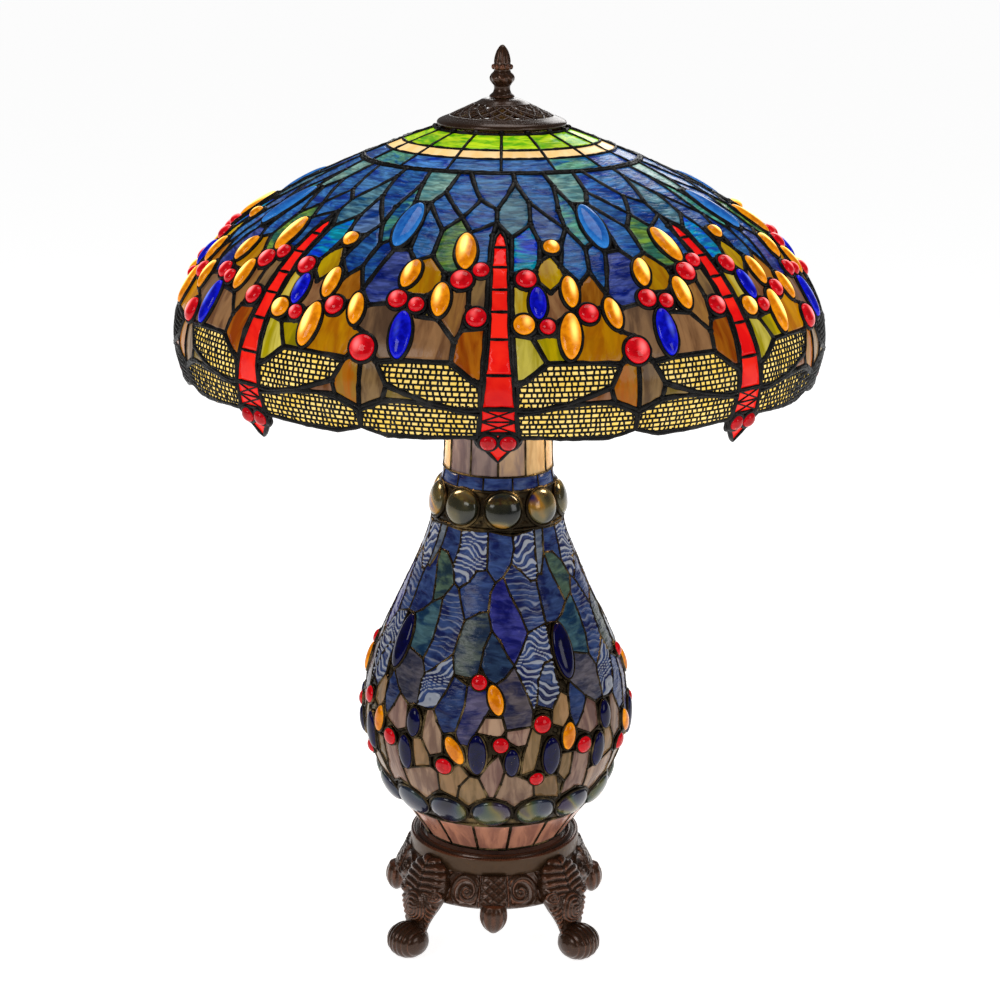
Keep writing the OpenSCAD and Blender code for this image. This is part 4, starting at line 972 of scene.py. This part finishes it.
def build_body():
    rippled = sheet_glass("ripple_glass", (60, (1, 2, 1)), (170, (0.6, 2.2, 1)), 1.35, 0.0009, 0.6, 0.25)
    # Painted highlight: pale grey on top of the drapery glass's raised ridges.
    folded = sheet_glass("drapery_glass", (60, (1, 2, 1)), (170, (0.6, 2.2, 1)), 1.3, 0.0006, 0.6, 0.25,
                         ridge_highlight=srgb(180, 184, 190))
    streaky = sheet_glass("brown_glass", (60, (2.4, 0.5, 1)), (120, (1.6, 0.6, 1)), 1.1, 0.0005, 0.8, 0.3)
    outlines = patterned(BODY_AT, RIPPLE, BODY_STEP)
    plain = [n for n in range(len(RIPPLE)) if n not in DRAPERY + HALF_DRAPERY]
    for name, glass, wanted, step, nodes in (
            ("ripple_glass", rippled, plain, 2.0, ["body_ripple_panes"]),
            ("drapery_glass", folded, DRAPERY + HALF_DRAPERY, 1.15, [])):
        glaze(name, BODY, [outlines[n] for n in wanted], BODY_REPEATS,
              lambda i: varied(RIPPLE_LOOKS.get(wanted[i], RIPPLE_BLUE)), NIGHT, 190,
              glass, "ripple_glass", nodes, step=step, relief=lambda i: ripple_relief(wanted[i]))
    glaze("brown_glass", BODY, patterned(BODY_AT, BROWN, BODY_STEP), BODY_REPEATS,
          lambda n: varied(BROWN_LOOKS[n % 4]), NIGHT, 130, streaky, "brown_glass", ["body_brown_panes"])
    creams = (pair((206, 164, 108), (226, 188, 132)), pair((150, 124, 112), (196, 160, 124)),
              pair((112, 92, 92), (144, 122, 114)))
    order = (1, 0, 0, 0, 1, 2, 1, 0, 1, 0, 2, 2)
    glaze("neck_glass", BODY, band_outlines(NECK), 1, lambda n: varied(creams[order[n]], 0.06),
          [bulb * (0.4, 1, 1) for bulb in BULBS], 80, streaky, "neck_glass", ["neck_panes"])
    glaze("neck_band_glass", BODY, band_outlines(NECK_BAND, 0), 1, lambda n: varied(RIPPLE_BLUE),
          NIGHT, 190, rippled, "ripple_glass", ["neck_band_panes"])
    turned = [[(a + FOOT_TURN, s) for a, s in pane] for pane in band_outlines(FOOT_BAND, 0)]
    glaze("foot_glass", BODY, turned, 1, lambda n: varied(pair((150, 100, 84), (190, 130, 104)), 0.08),
          [NIGHT_BULB * (0, 0, 1)], 105, streaky, "pink_glass", ["body_foot_panes"])


def build_body_lead():
    """Came, foil and the solder round the stones of the body."""
    olive = solder("body_solder", (0.02, 0.014, 0.007), (0.2, 0.14, 0.06), 0.9, 0.32)
    net = Piece("body_leading")
    edges = shared_edges(BODY_AT, RIPPLE + BROWN, BODY_STEP)
    lead_net(net, BODY, edges, BODY_REPEATS, 1.1, 1.7, CAME_LIFT)
    for s, half_w in ((2, 1.6), (29.2, 1.0), (39, 1.2), (65, 1.2), (288, 1.5), (320, 1.6)):
        lead_hoop(net, BODY, s, half_w, 1.8, CAME_LIFT)
    lead_net(net, BODY, spokes(12, 2, 29.2), 1, 1.0, 1.7, CAME_LIFT)
    lead_net(net, BODY, spokes(12, 29.2, 39, 15), 1, 0.8, 1.6, CAME_LIFT)
    lead_net(net, BODY, spokes(16, 288, 320, 11.25 + FOOT_TURN), 1, 1.3, 1.7, CAME_LIFT)
    solder_in(net, BODY, BODY_COBALT + BODY_RED + BODY_AMBER, BODY_REPEATS, 0.9, 0.2, 4.2)
    solder_in(net, BODY, upper_round() + lower_round(), 1, 1.3, 0.0, 4.5)
    solder_fills(net, BODY, BODY_FILLS, BODY_REPEATS)
    for s, half_w in ((41.4, 2.6), (62.2, 3.0), (284.6, 4.2)):
        lead_hoop(net, BODY, s, half_w, FILL_H, FILL_LIFT)
    net.make(olive, "base", ["ripple_foil", "body_band_came"])


def upper_round():
    return [(5 + 40 * k, 51.5, 12.4, 12.4, 0) for k in range(9)]


def lower_round():
    return [(-1.5 + 22.5 * k, 271.5, 13.2, 12.6, 0) for k in range(16)]


def pearl_glass(name, gain, stops):
    """Iridescent cast glass: a slow drift of colour over a dark ground, also given off as a painted glow."""
    m = Nodes(name, Roughness=0.16, Metallic=0.3, Coat_Weight=0.3, Coat_Roughness=0.06)
    surf = m.attribute("surf", "Vector")
    drift = m.noise(surf, 24, detail=1.5, distortion=0.9)
    ramp = m.add("ValToRGB", Fac=m.ramp(drift, 0.28, 0.72))
    while len(ramp.color_ramp.elements) < len(stops):
        ramp.color_ramp.elements.new(0.5)
    for element, (at, colour) in zip(ramp.color_ramp.elements, stops):
        element.position = at
        element.color = (*srgb(*colour), 1)
    m.set(Base_Color=ramp.outputs["Color"], Emission_Color=ramp.outputs["Color"],
          Emission_Strength=m.maths("MULTIPLY", m.attribute("glow", "Fac"), gain))
    m.bump(m.noise(surf, 160, detail=3), 0.2, 0.0008)
    return m.material


def build_body_stones(amber, red):
    navy = stone_glass("navy_glass", (0.0, 0.0, 0.018), (0.001, 0.003, 0.11), (0.1, 0.14, 0.5), 1.0)
    for name, jewels, glow, *look in (
            ("body_cobalt_stones", BODY_COBALT, 0.16, navy, "cobalt_glass", "body_cobalt_jewels"),
            ("body_red_stones", BODY_RED, 0.7, red, "red_glass", "body_red_jewels"),
            ("body_amber_stones", BODY_AMBER, 0.7, amber, "amber_glass", "body_amber_jewels")):
        set_stones(name, BODY, jewels, BODY_REPEATS, 3.0, glow, 0, *look, girdle=1.0)
    dusk = pearl_glass("cabochon_olive", 0.2, (
        (0, (14, 16, 12)), (0.3, (44, 44, 30)), (0.55, (92, 84, 52)), (0.72, (150, 108, 30)),
        (0.84, (40, 36, 84)), (1, (14, 28, 50))))
    night = pearl_glass("cabochon_blue", 0.22, (
        (0, (10, 10, 20)), (0.3, (22, 24, 48)), (0.55, (38, 48, 62)), (0.75, (56, 68, 50)),
        (0.9, (92, 84, 40)), (1, (40, 28, 56))))
    for name, places, glass, node, rise in (
            ("upper_cabochons", upper_round(), dusk, "upper_cabochon_ring", 5.2),
            ("lower_cabochons", lower_round(), night, "lower_cabochon_ring", 5.0)):
        stones = Piece(name)
        for place in places:
            stone(stones, BODY, place, rise, 0.6, 1.0)
        stones.make(glass, "base", [node])


# ---------------------------------------------------------------- the cast foot
def smooth(x, low, high):
    """0 below low and 1 above high, with an eased rise between."""
    t = np.clip((np.asarray(x, float) - low) / (high - low), 0, 1)
    return t * t * (3 - 2 * t)


def lofted(rings):
    """A closed solid through rows of points, each row a closed loop, with flat ends."""
    m, n = rings.shape[:2]
    faces = [tuple(range(n - 1, -1, -1))]
    for i in range(m - 1):
        faces += ring_quads(i, i + 1, n)
    faces.append(tuple((m - 1) * n + k for k in range(n)))
    return rings.reshape(-1, 3), faces


def lathed(profile, count=128):
    """A turned solid: profile is a closed outline of [radius, height]."""
    r, z = np.array(profile, float).T[:, :, None]
    rings = around(r, circle(count), z)
    faces = [face for i in range(len(r)) for face in ring_quads(i, (i + 1) % len(r), count)]
    return rings.reshape(-1, 3), faces


def eased(outline, step):
    """A closed outline with its corners cut off and its long sides divided."""
    p = np.array(outline, float)
    ahead, cut = np.roll(p, -1, 0), 0.22
    trimmed = np.stack([(1 - cut) * p + cut * ahead, cut * p + (1 - cut) * ahead], 1)
    return resampled(trimmed.reshape(-1, 2), step)


def spiral(dx, dy, hand, growth=3.0, start=1.3):
    """0 to 1, highest along the ridge of a spiral about the origin."""
    d = np.hypot(dx, dy) + 1e-6
    turns = np.log(d / start) / math.log(growth) - hand * np.arctan2(dy, dx) / (2 * math.pi)
    away = np.abs(turns - np.round(turns))
    return np.exp(-((away / 0.12) ** 2))


def hatched(x, y, pitch, width=0.13):
    """Thin crossed ridges."""
    lines = [np.abs((t / pitch) - np.round(t / pitch)) for t in (0.62 * x + 0.78 * y, 0.62 * x - 0.78 * y)]
    return np.exp(-((np.minimum(*lines) / width) ** 2))


SKIRT = [(60.4, 63), (61.2, 60.5), (62.6, 57), (65, 52.5), (67.6, 47.5), (69, 43.5), (69, 41), (67.4, 39.4),
         (64, 40.2), (58.5, 47), (56.3, 54), (56.2, 63)]
SKIRT_TOP, SKIRT_LOW = 62.5, 40.0
# The scroll beside each tongue: how far to the side, how high, its radius. Then half a tongue's width.
VOLUTE = (19.2, 51.0, 12.0)
TONGUE = 9.6


def skirt_relief(x, z):
    """Height of the casting's ornament at x from the middle of a side and z above the table."""
    side, (vx, vz, vr) = np.abs(x), VOLUTE
    dx, dz = side - vx, z - vz
    d = np.hypot(dx, dz)
    disc = 1 - smooth(d, vr - 1.6, vr + 0.8)
    h = disc * (1.2 + 1.9 * spiral(dx, dz, -1) - 0.9 * smooth(d, 1.5, 7) * (1 - smooth(d, 8.5, 11)))
    tongue = 1 - smooth(side, TONGUE - 0.7, TONGUE + 0.5)
    crown = 2.2 + 1.4 * np.sqrt(np.clip(1 - (x / (TONGUE + 1)) ** 2, 0, 1))
    h = h * (1 - tongue) + tongue * (crown + 0.55 * hatched(x, z, 4.1))
    edge = np.exp(-(((side - TONGUE - 1.6) / 0.8) ** 2))
    lip = np.exp(-(((z - 42.5) / 1.4) ** 2)) * (1 - tongue)
    swirl = 0.5 * np.sin(side * 0.9 + z * 0.7) * smooth(side, 31, 34)
    return (h + 0.9 * edge + 0.7 * lip + swirl) * smooth(z, SKIRT_LOW - 0.6, SKIRT_LOW + 1) * (
        1 - smooth(z, SKIRT_TOP - 1, SKIRT_TOP + 0.4))


def build_skirt(bronze):
    outline = eased(SKIRT, 0.65)
    count = 620
    points, faces = lathed(outline, count)
    grid = points.reshape(len(outline), count, 3)
    r = np.hypot(grid[..., 0], grid[..., 1])
    angle = np.degrees(np.arctan2(grid[..., 0], -grid[..., 1]))
    off = (angle + 45) % 90 - 45
    x = np.radians(off) * 66
    h = skirt_relief(x, grid[..., 2]) * smooth(r, 59.4, 60.4)
    slope = np.stack([grid[..., 0] / r, grid[..., 1] / r, np.full_like(r, 0.45)], 2)
    slope /= np.linalg.norm(slope, axis=2, keepdims=True)
    skirt = Piece("base_skirt")
    skirt.add((grid + slope * h[..., None]).reshape(-1, 3), faces)
    skirt.make(bronze, "base", ["base_casting"])


def pendant(angle):
    """The fluted drop under a tongue."""
    rows, count = 40, 72
    a = circle(count)
    rings = []
    for t in np.linspace(0.02, 0.985, rows):
        wide = math.sin(math.pi * min(1, 0.24 + 0.76 * t)) ** 0.62
        flute = 1 + 0.085 * np.abs(np.cos(5 * a)) * min(1, 6 * t) * min(1, 5 * (1 - t))
        x = 9.3 * wide * np.sin(a) * flute
        y = -69.8 - 1.8 * t + 8.2 * wide * -np.cos(a) * flute
        rings.append(np.stack([x, y, np.full(count, 45.5 - 22.2 * t**0.9)], 1))
    points, faces = lofted(np.array(rings)[::-1])
    return turn(points, angle), faces


# Down a leg: height, then its inner and outer face and half its width.
LEG_KEYS = [(69, 58.5, 61.5, 3), (67.5, 54, 65.5, 8), (64, 52, 68.4, 13), (58, 53, 71.6, 17),
            (50, 56, 75, 19), (43, 61, 78, 18.5), (36, 65, 79.5, 16), (30, 69, 79.6, 13),
            (24, 72, 80, 10.5), (17, 75, 83, 9.5), (12, 77, 86, 9)]
# The whorl on a knee: its height above the table and its radius.
WHORL = (35.5, 11.5)


def leg_relief(x, z):
    side = np.abs(x)
    leaf = smooth(z, 45.5, 48.5)
    rib = np.abs(np.sin(math.pi * (z - 0.42 * side + 0.02 * side**2) / 4.3)) ** 0.7
    h = leaf * (1.7 * rib * (1 - smooth(side, 14, 19)) - 1.3 * np.exp(-((x / 1.0) ** 2)))
    d = np.hypot(x * 1.12, (z - WHORL[0]) * np.where(z > WHORL[0], 0.82, 1.1))
    dome = np.clip(1 - (d / WHORL[1]) ** 2, 0, 1)
    rings = np.abs(np.cos(math.pi * (d + 0.12 * x) / 2.35)) ** 0.8
    h = h * (1 - smooth(dome, 0, 0.12)) + smooth(dome, 0, 0.1) * (3.6 * dome**0.8 + 1.15 * rings)
    cx, cz = side - 14.6, z - 46.5
    curl = 1 - smooth(np.hypot(cx, cz), 3.6, 4.8)
    h = h * (1 - curl) + curl * (1.6 + 0.9 * spiral(cx, cz, 1, 1.7, 0.7))
    blade = smooth(side, 8.5, 11) * (1 - smooth(z, 38, 42)) * (1 - curl)
    h = h + blade * (1.5 * np.abs(np.cos(math.pi * (side + 1.15 * z) / 5.4)) ** 0.8)
    return h


def leg_solid():
    """One leg on the diagonal, facing -Y."""
    rows, count = 120, 150
    keys = np.array(LEG_KEYS)[::-1]
    z = np.linspace(12, 69, rows)
    inner, outer, wide = (np.interp(z, keys[:, 0], keys[:, k]) for k in (1, 2, 3))
    blur = np.ones(9) / 9
    inner, outer, wide = (np.convolve(np.pad(v, 4, mode="edge"), blur, "valid") for v in (inner, outer, wide))
    a = circle(count)
    power = 0.72
    cx = np.sign(np.sin(a)) * np.abs(np.sin(a)) ** power
    cy = np.sign(np.cos(a)) * np.abs(np.cos(a)) ** power
    x = wide[:, None] * cx
    mid, half = (inner + outer) / 2, (outer - inner) / 2
    y = mid[:, None] + half[:, None] * cy
    front = smooth(cy, 0.0, 0.35)[None] * np.ones((rows, 1))
    h = leg_relief(x, z[:, None]) * front
    lean = np.gradient(outer, z)[:, None]
    nx = np.sign(np.sin(a)) * np.abs(np.sin(a)) ** 1.6
    ny = np.clip(cy, 0, 1)
    size = np.sqrt(nx**2 + ny**2 + 0.001)
    rings = np.stack([x + h * nx / size, -(y + h * ny / size), z[:, None] - 0.4 * h * lean + 0 * x], 2)
    return lofted(rings)


def scroll_foot():
    """The ribbed foot: rings about its own sideways axis, ending in a small knob each side."""
    rows, count = 130, 96
    a = circle(count)
    t = np.linspace(-0.995, 0.995, rows)
    ax = 14.6 * np.sin(t * math.pi / 2)
    body = 12.7 * np.sqrt(np.clip(1 - (ax / 15.1) ** 2, 0, 1))
    ribs = 0.85 * np.abs(np.cos(math.pi * (ax / 4.15))) ** 0.75 * smooth(body, 2.5, 6)
    knob = 1.3 * np.exp(-((body / 2.0) ** 2))
    radius = np.maximum(body + ribs, 0.4)
    x = ax + np.sign(ax) * knob
    y = -85.8 - radius[:, None] * np.cos(a) * 1.08
    z = 12.75 + radius[:, None] * np.sin(a) * 0.94
    return lofted(np.stack([x[:, None] + 0 * y, y, np.maximum(z, 0.05)], 2))


DRUM = [(60.9, 62.2), (60.9, 73.4), (60.2, 74.3), (58.9, 74.6), (58, 74.2), (57.4, 73.2), (56.8, 73.2),
        (56.2, 74.5), (54.9, 75.6), (53.2, 75.4), (52.2, 74.2), (51.5, 72.4), (51.2, 66), (57.6, 64),
        (58.4, 61.6)]


def build_foot():
    bronze = cast_metal("foot_bronze", (0.05, 0.021, 0.0095), (0.27, 0.085, 0.034), 0.26, 0.45, 700, 0.35)
    band = cast_metal("band_bronze", (0.066, 0.034, 0.015), (0.1, 0.054, 0.024), 0.36, 0.4, 500)
    build_skirt(bronze)
    drum = Piece("base_drum")
    drum.add(*lathed(eased(DRUM, 0.6), 192))
    piece = drum.make(band, "base")
    piece.data.materials.append(bronze)
    rim = [f.center.z > 0.0738 or math.hypot(*f.center.xy) < 0.0592 for f in piece.data.polygons]
    piece.data.polygons.foreach_set("material_index", [int(r) for r in rim])
    drops = Piece("base_pendants")
    for k in range(4):
        drops.add(*pendant(90 * k))
    drops.make(bronze, "base", ["foot_pendants"])
    for name, angle in (("front_right", 45), ("back_right", 135), ("back_left", 225), ("front_left", 315)):
        leg = Piece("leg_casting_" + name)
        for points, faces in (leg_solid(), scroll_foot()):
            leg.add(turn(points, angle), faces)
        leg.make(bronze, "base", ["leg_" + name])
    return bronze


# ---------------------------------------------------------------- cap and finial
LATTICE = (19.0, 34.6)


def cap_height(r, lift):
    """Height of the cap's pierced cone at radius r, raised by lift."""
    return np.interp(r, (17, 36), (597.2, 588.3)) + lift


def build_cap(bronze):
    cap = Piece("heat_cap_casting")
    upper = [(4.9, 600), (10, 600.1), (13.5, 599.2), (17, 597.2), (LATTICE[0], 596.3), (LATTICE[0], 594.9),
             (16.4, 595.3), (12.5, 597.2), (4.9, 597.8)]
    lower = [(LATTICE[1], 589.0), (37, 588), (40.5, 586.7), (43, 585.4), (43.9, 583.6), (43.2, 581.9),
             (41.6, 581.9), (41.4, 583.4), (39, 585), (LATTICE[1], 587.5)]
    for outline in (upper, lower):
        cap.add(*lathed(eased(outline, 0.8)))
    strips, count = 20, 13
    for k in range(strips):
        for hand in (-1, 1):
            t = np.linspace(-0.04, 1.04, count)
            r = LATTICE[0] + (LATTICE[1] - LATTICE[0]) * t
            a = 2 * math.pi * (k / strips + hand * 0.1 * t)
            centre = around(r, a, cap_height(r, -0.75 + 0.12 * hand))
            ahead = np.gradient(centre, axis=0)
            ahead /= np.linalg.norm(ahead, axis=1, keepdims=True)
            up = around(0.42, a, 0.91)
            across = np.cross(ahead, up)
            rings = np.stack([centre + across * (0.95 * math.cos(b)) + up * (0.75 * math.sin(b))
                              for b in circle(8)], 1)
            cap.add(*lofted(rings))
    cap.make(bronze, "shade", ["heat_cap"])
    drops = Piece("crown_solder")
    for k in range(16):
        a = math.radians(22.5 * k)
        drops.add(*knob((44.6 * math.sin(a), -44.6 * math.cos(a), 581.0), dice.uniform(1.9, 2.5), 1.8))
    drops.make(solder("crown_solder", (0.01, 0.008, 0.008), (0.12, 0.11, 0.11)), "shade")


def knob(place, radius, height):
    """A small low dome, closed below."""
    a, rows = circle(12), 5
    rings = [around(0.8 * radius, a, -height)]
    for i in range(rows):
        b = math.pi / 2 * i / rows
        rings.append(around(radius * math.cos(b), a, height * math.sin(b)))
    points, faces = lofted(np.array(rings))
    return points + np.array(place), faces


FINIAL = [(0.6, 600.3), (8.2, 600.3), (8.6, 601.1), (7.8, 602.2), (6.2, 603.5), (5.5, 605.2), (5.4, 607.6),
          (6.4, 609.2), (7.9, 611.4), (8.2, 613.4), (7.4, 615.4), (5.8, 617.2), (5.4, 618.4), (6.2, 619.6),
          (6.2, 621.4), (5.6, 622.4), (5.6, 624.2), (5.0, 627.6), (3.9, 630.8), (2.4, 633.4),
          (1.2, 634.6), (0.5, 634.9)]


def build_finial(bronze):
    r, z = np.array(FINIAL).T
    t = np.linspace(0, 1, 150)
    along = np.linspace(0, 1, len(r))
    r, z = np.interp(t, along, r), np.interp(t, along, z)
    r = np.convolve(np.pad(r, 2, mode="edge"), np.ones(5) / 5, "valid")
    a = circle(96)
    bulge = smooth(z, 608, 610) * (1 - smooth(z, 616, 618))
    acorn = smooth(z, 622.5, 624) * (1 - smooth(z, 631, 634))
    lobes = 1 + 0.085 * bulge[:, None] * (np.abs(np.cos(4 * a + 0.35 * (z[:, None] - 613))) - 0.5)
    lobes = lobes * (1 + 0.05 * acorn[:, None] * np.cos(10 * a))
    radius = r[:, None] * lobes
    top = Piece("finial_casting")
    top.add(*lofted(around(radius, a, z[:, None])))
    for k in range(9):
        b = 2 * math.pi * k / 9
        points, faces = knob((0, 0, 0), 1.9, 1.5)
        points = points @ np.array(Matrix.Rotation(math.pi / 2, 3, "X")).T
        top.add(turn(points + (0, -5.9, 620.5), math.degrees(b)), faces)
    top.make(bronze, "finial", ["finial"])


# ---------------------------------------------------------------- studio
def light(name, kind, place, power):
    data = bpy.data.lights.new(name, kind)
    data.energy = power
    lamp = bpy.data.objects.new(name, data)
    lamp.location = place
    bpy.context.scene.collection.objects.link(lamp)
    return lamp


def softbox(name, place, aim, size, power):
    """A square light turned to a height on the lamp's axis."""
    lamp = light(name, "AREA", place, power)
    lamp.data.shape, lamp.data.size = "SQUARE", size
    lamp.rotation_euler = (Vector((0, 0, aim)) - Vector(place)).to_track_quat("-Z", "Y").to_euler()


def dress_hardware():
    """The fittings inside, which are carried over from the CAD as they are."""
    steel = plain_metal("plated_steel", (0.42, 0.41, 0.39), 0.32)
    brass = plain_metal("aged_brass", (0.5, 0.34, 0.13), 0.28)
    shell = plain_metal("socket_shell", (0.4, 0.27, 0.1), 0.34)
    patina = cast_metal("vase_cap_bronze", (0.03, 0.014, 0.008), (0.14, 0.05, 0.024), 0.34, 0.55, 600)
    rubber = moulded("bushing_plastic", (0.012, 0.012, 0.012), 0.5)
    lit = lamp_glass("lit_bulb", (1.0, 0.74, 0.42), 0.55)
    for material, nodes in (
            (steel, ("bottom_plate", "plate_screws", "stem_tube", "stem_nuts", "night_light_bracket")),
            (brass, ("riser_rod", "seat_washer", "shade_wheel", "crown_ring", "pull_chain_left",
                     "pull_chain_right")),
            (shell, ("night_light_socket", "socket_cluster", "bulb_sockets")),
            (patina, ("vase_cap",)), (rubber, ("cord_bushing",)),
            (lit, ("bulb_left", "bulb_right", "night_light_bulb"))):
        for node in nodes:
            dress(node, material)


def build_studio():
    """Soft light, and a floor and surround that are white to the camera and dim as light."""
    world = bpy.data.worlds.new("studio")
    bpy.context.scene.world = world
    world.use_nodes = True
    tree = world.node_tree
    sky = tree.nodes["Background"]
    seen = tree.nodes.new("ShaderNodeLightPath")
    level = tree.nodes.new("ShaderNodeMapRange")
    level.inputs["To Min"].default_value = 0.12
    level.inputs["To Max"].default_value = 1.0
    tree.links.new(seen.outputs["Is Camera Ray"], level.inputs["Value"])
    tree.links.new(level.outputs[0], sky.inputs["Strength"])
    sky.inputs["Color"].default_value = (1, 1, 1, 1)
    softbox("key", (-1.3, -1.7, 1.5), 0.35, 0.9, 12)
    softbox("fill", (1.6, -1.5, 1.0), 0.3, 0.9, 7)
    softbox("top", (0.1, 0.3, 1.9), 0.4, 0.9, 6)
    softbox("back", (0.3, 1.9, 1.2), 0.3, 1.0, 7)
    for name, side in (("bulb_light_left", -1), ("bulb_light_right", 1)):
        bulb = light(name, "POINT", (side * BULB_X, 0.0, 0.395), 0.5).data
        bulb.shadow_soft_size, bulb.color = 0.02, (1.0, 0.72, 0.4)
    floor = bpy.data.meshes.new("floor")
    floor.from_pydata([(-15, -15, 0), (15, -15, 0), (15, 15, 0), (-15, 15, 0)], [], [(0, 1, 2, 3)])
    pale = Nodes("pale_floor", Base_Color=(0.93, 0.93, 0.93, 1), Roughness=0.8, Specular_IOR_Level=0.1,
                 Emission_Color=(1, 1, 1, 1), Emission_Strength=0.86)
    floor.materials.append(pale.material)
    stage = bpy.data.objects.new("floor", floor)
    bpy.context.scene.collection.objects.link(stage)


def build_camera():
    """At the viewing angle of a long lens a little above the lamp."""
    place, down, roll = (0.0015, -1.5614, 0.7532), 15.48, 0.6
    data = bpy.data.cameras.new("camera")
    data.lens, data.sensor_width, data.clip_end = 83.2, 36.0, 20.0
    camera = bpy.data.objects.new("camera", data)
    camera.matrix_world = (Matrix.Translation(place) @ Matrix.Rotation(math.radians(90 - down), 4, "X")
                           @ Matrix.Rotation(math.radians(roll), 4, "Z"))
    bpy.context.scene.collection.objects.link(camera)
    bpy.context.scene.camera = camera


build_camera()
build_studio()
WINGS = build_shade()
BLACK = build_shade_lead(WINGS)
AMBER_GLASS, RED_GLASS = build_shade_stones(BLACK)
build_filigree(BLACK, WINGS)
build_body()
build_body_lead()
build_body_stones(AMBER_GLASS, RED_GLASS)
BRONZE = build_foot()
build_cap(BRONZE)
build_finial(BRONZE)
dress_hardware()
bpy.context.scene.view_settings.view_transform = "Standard"
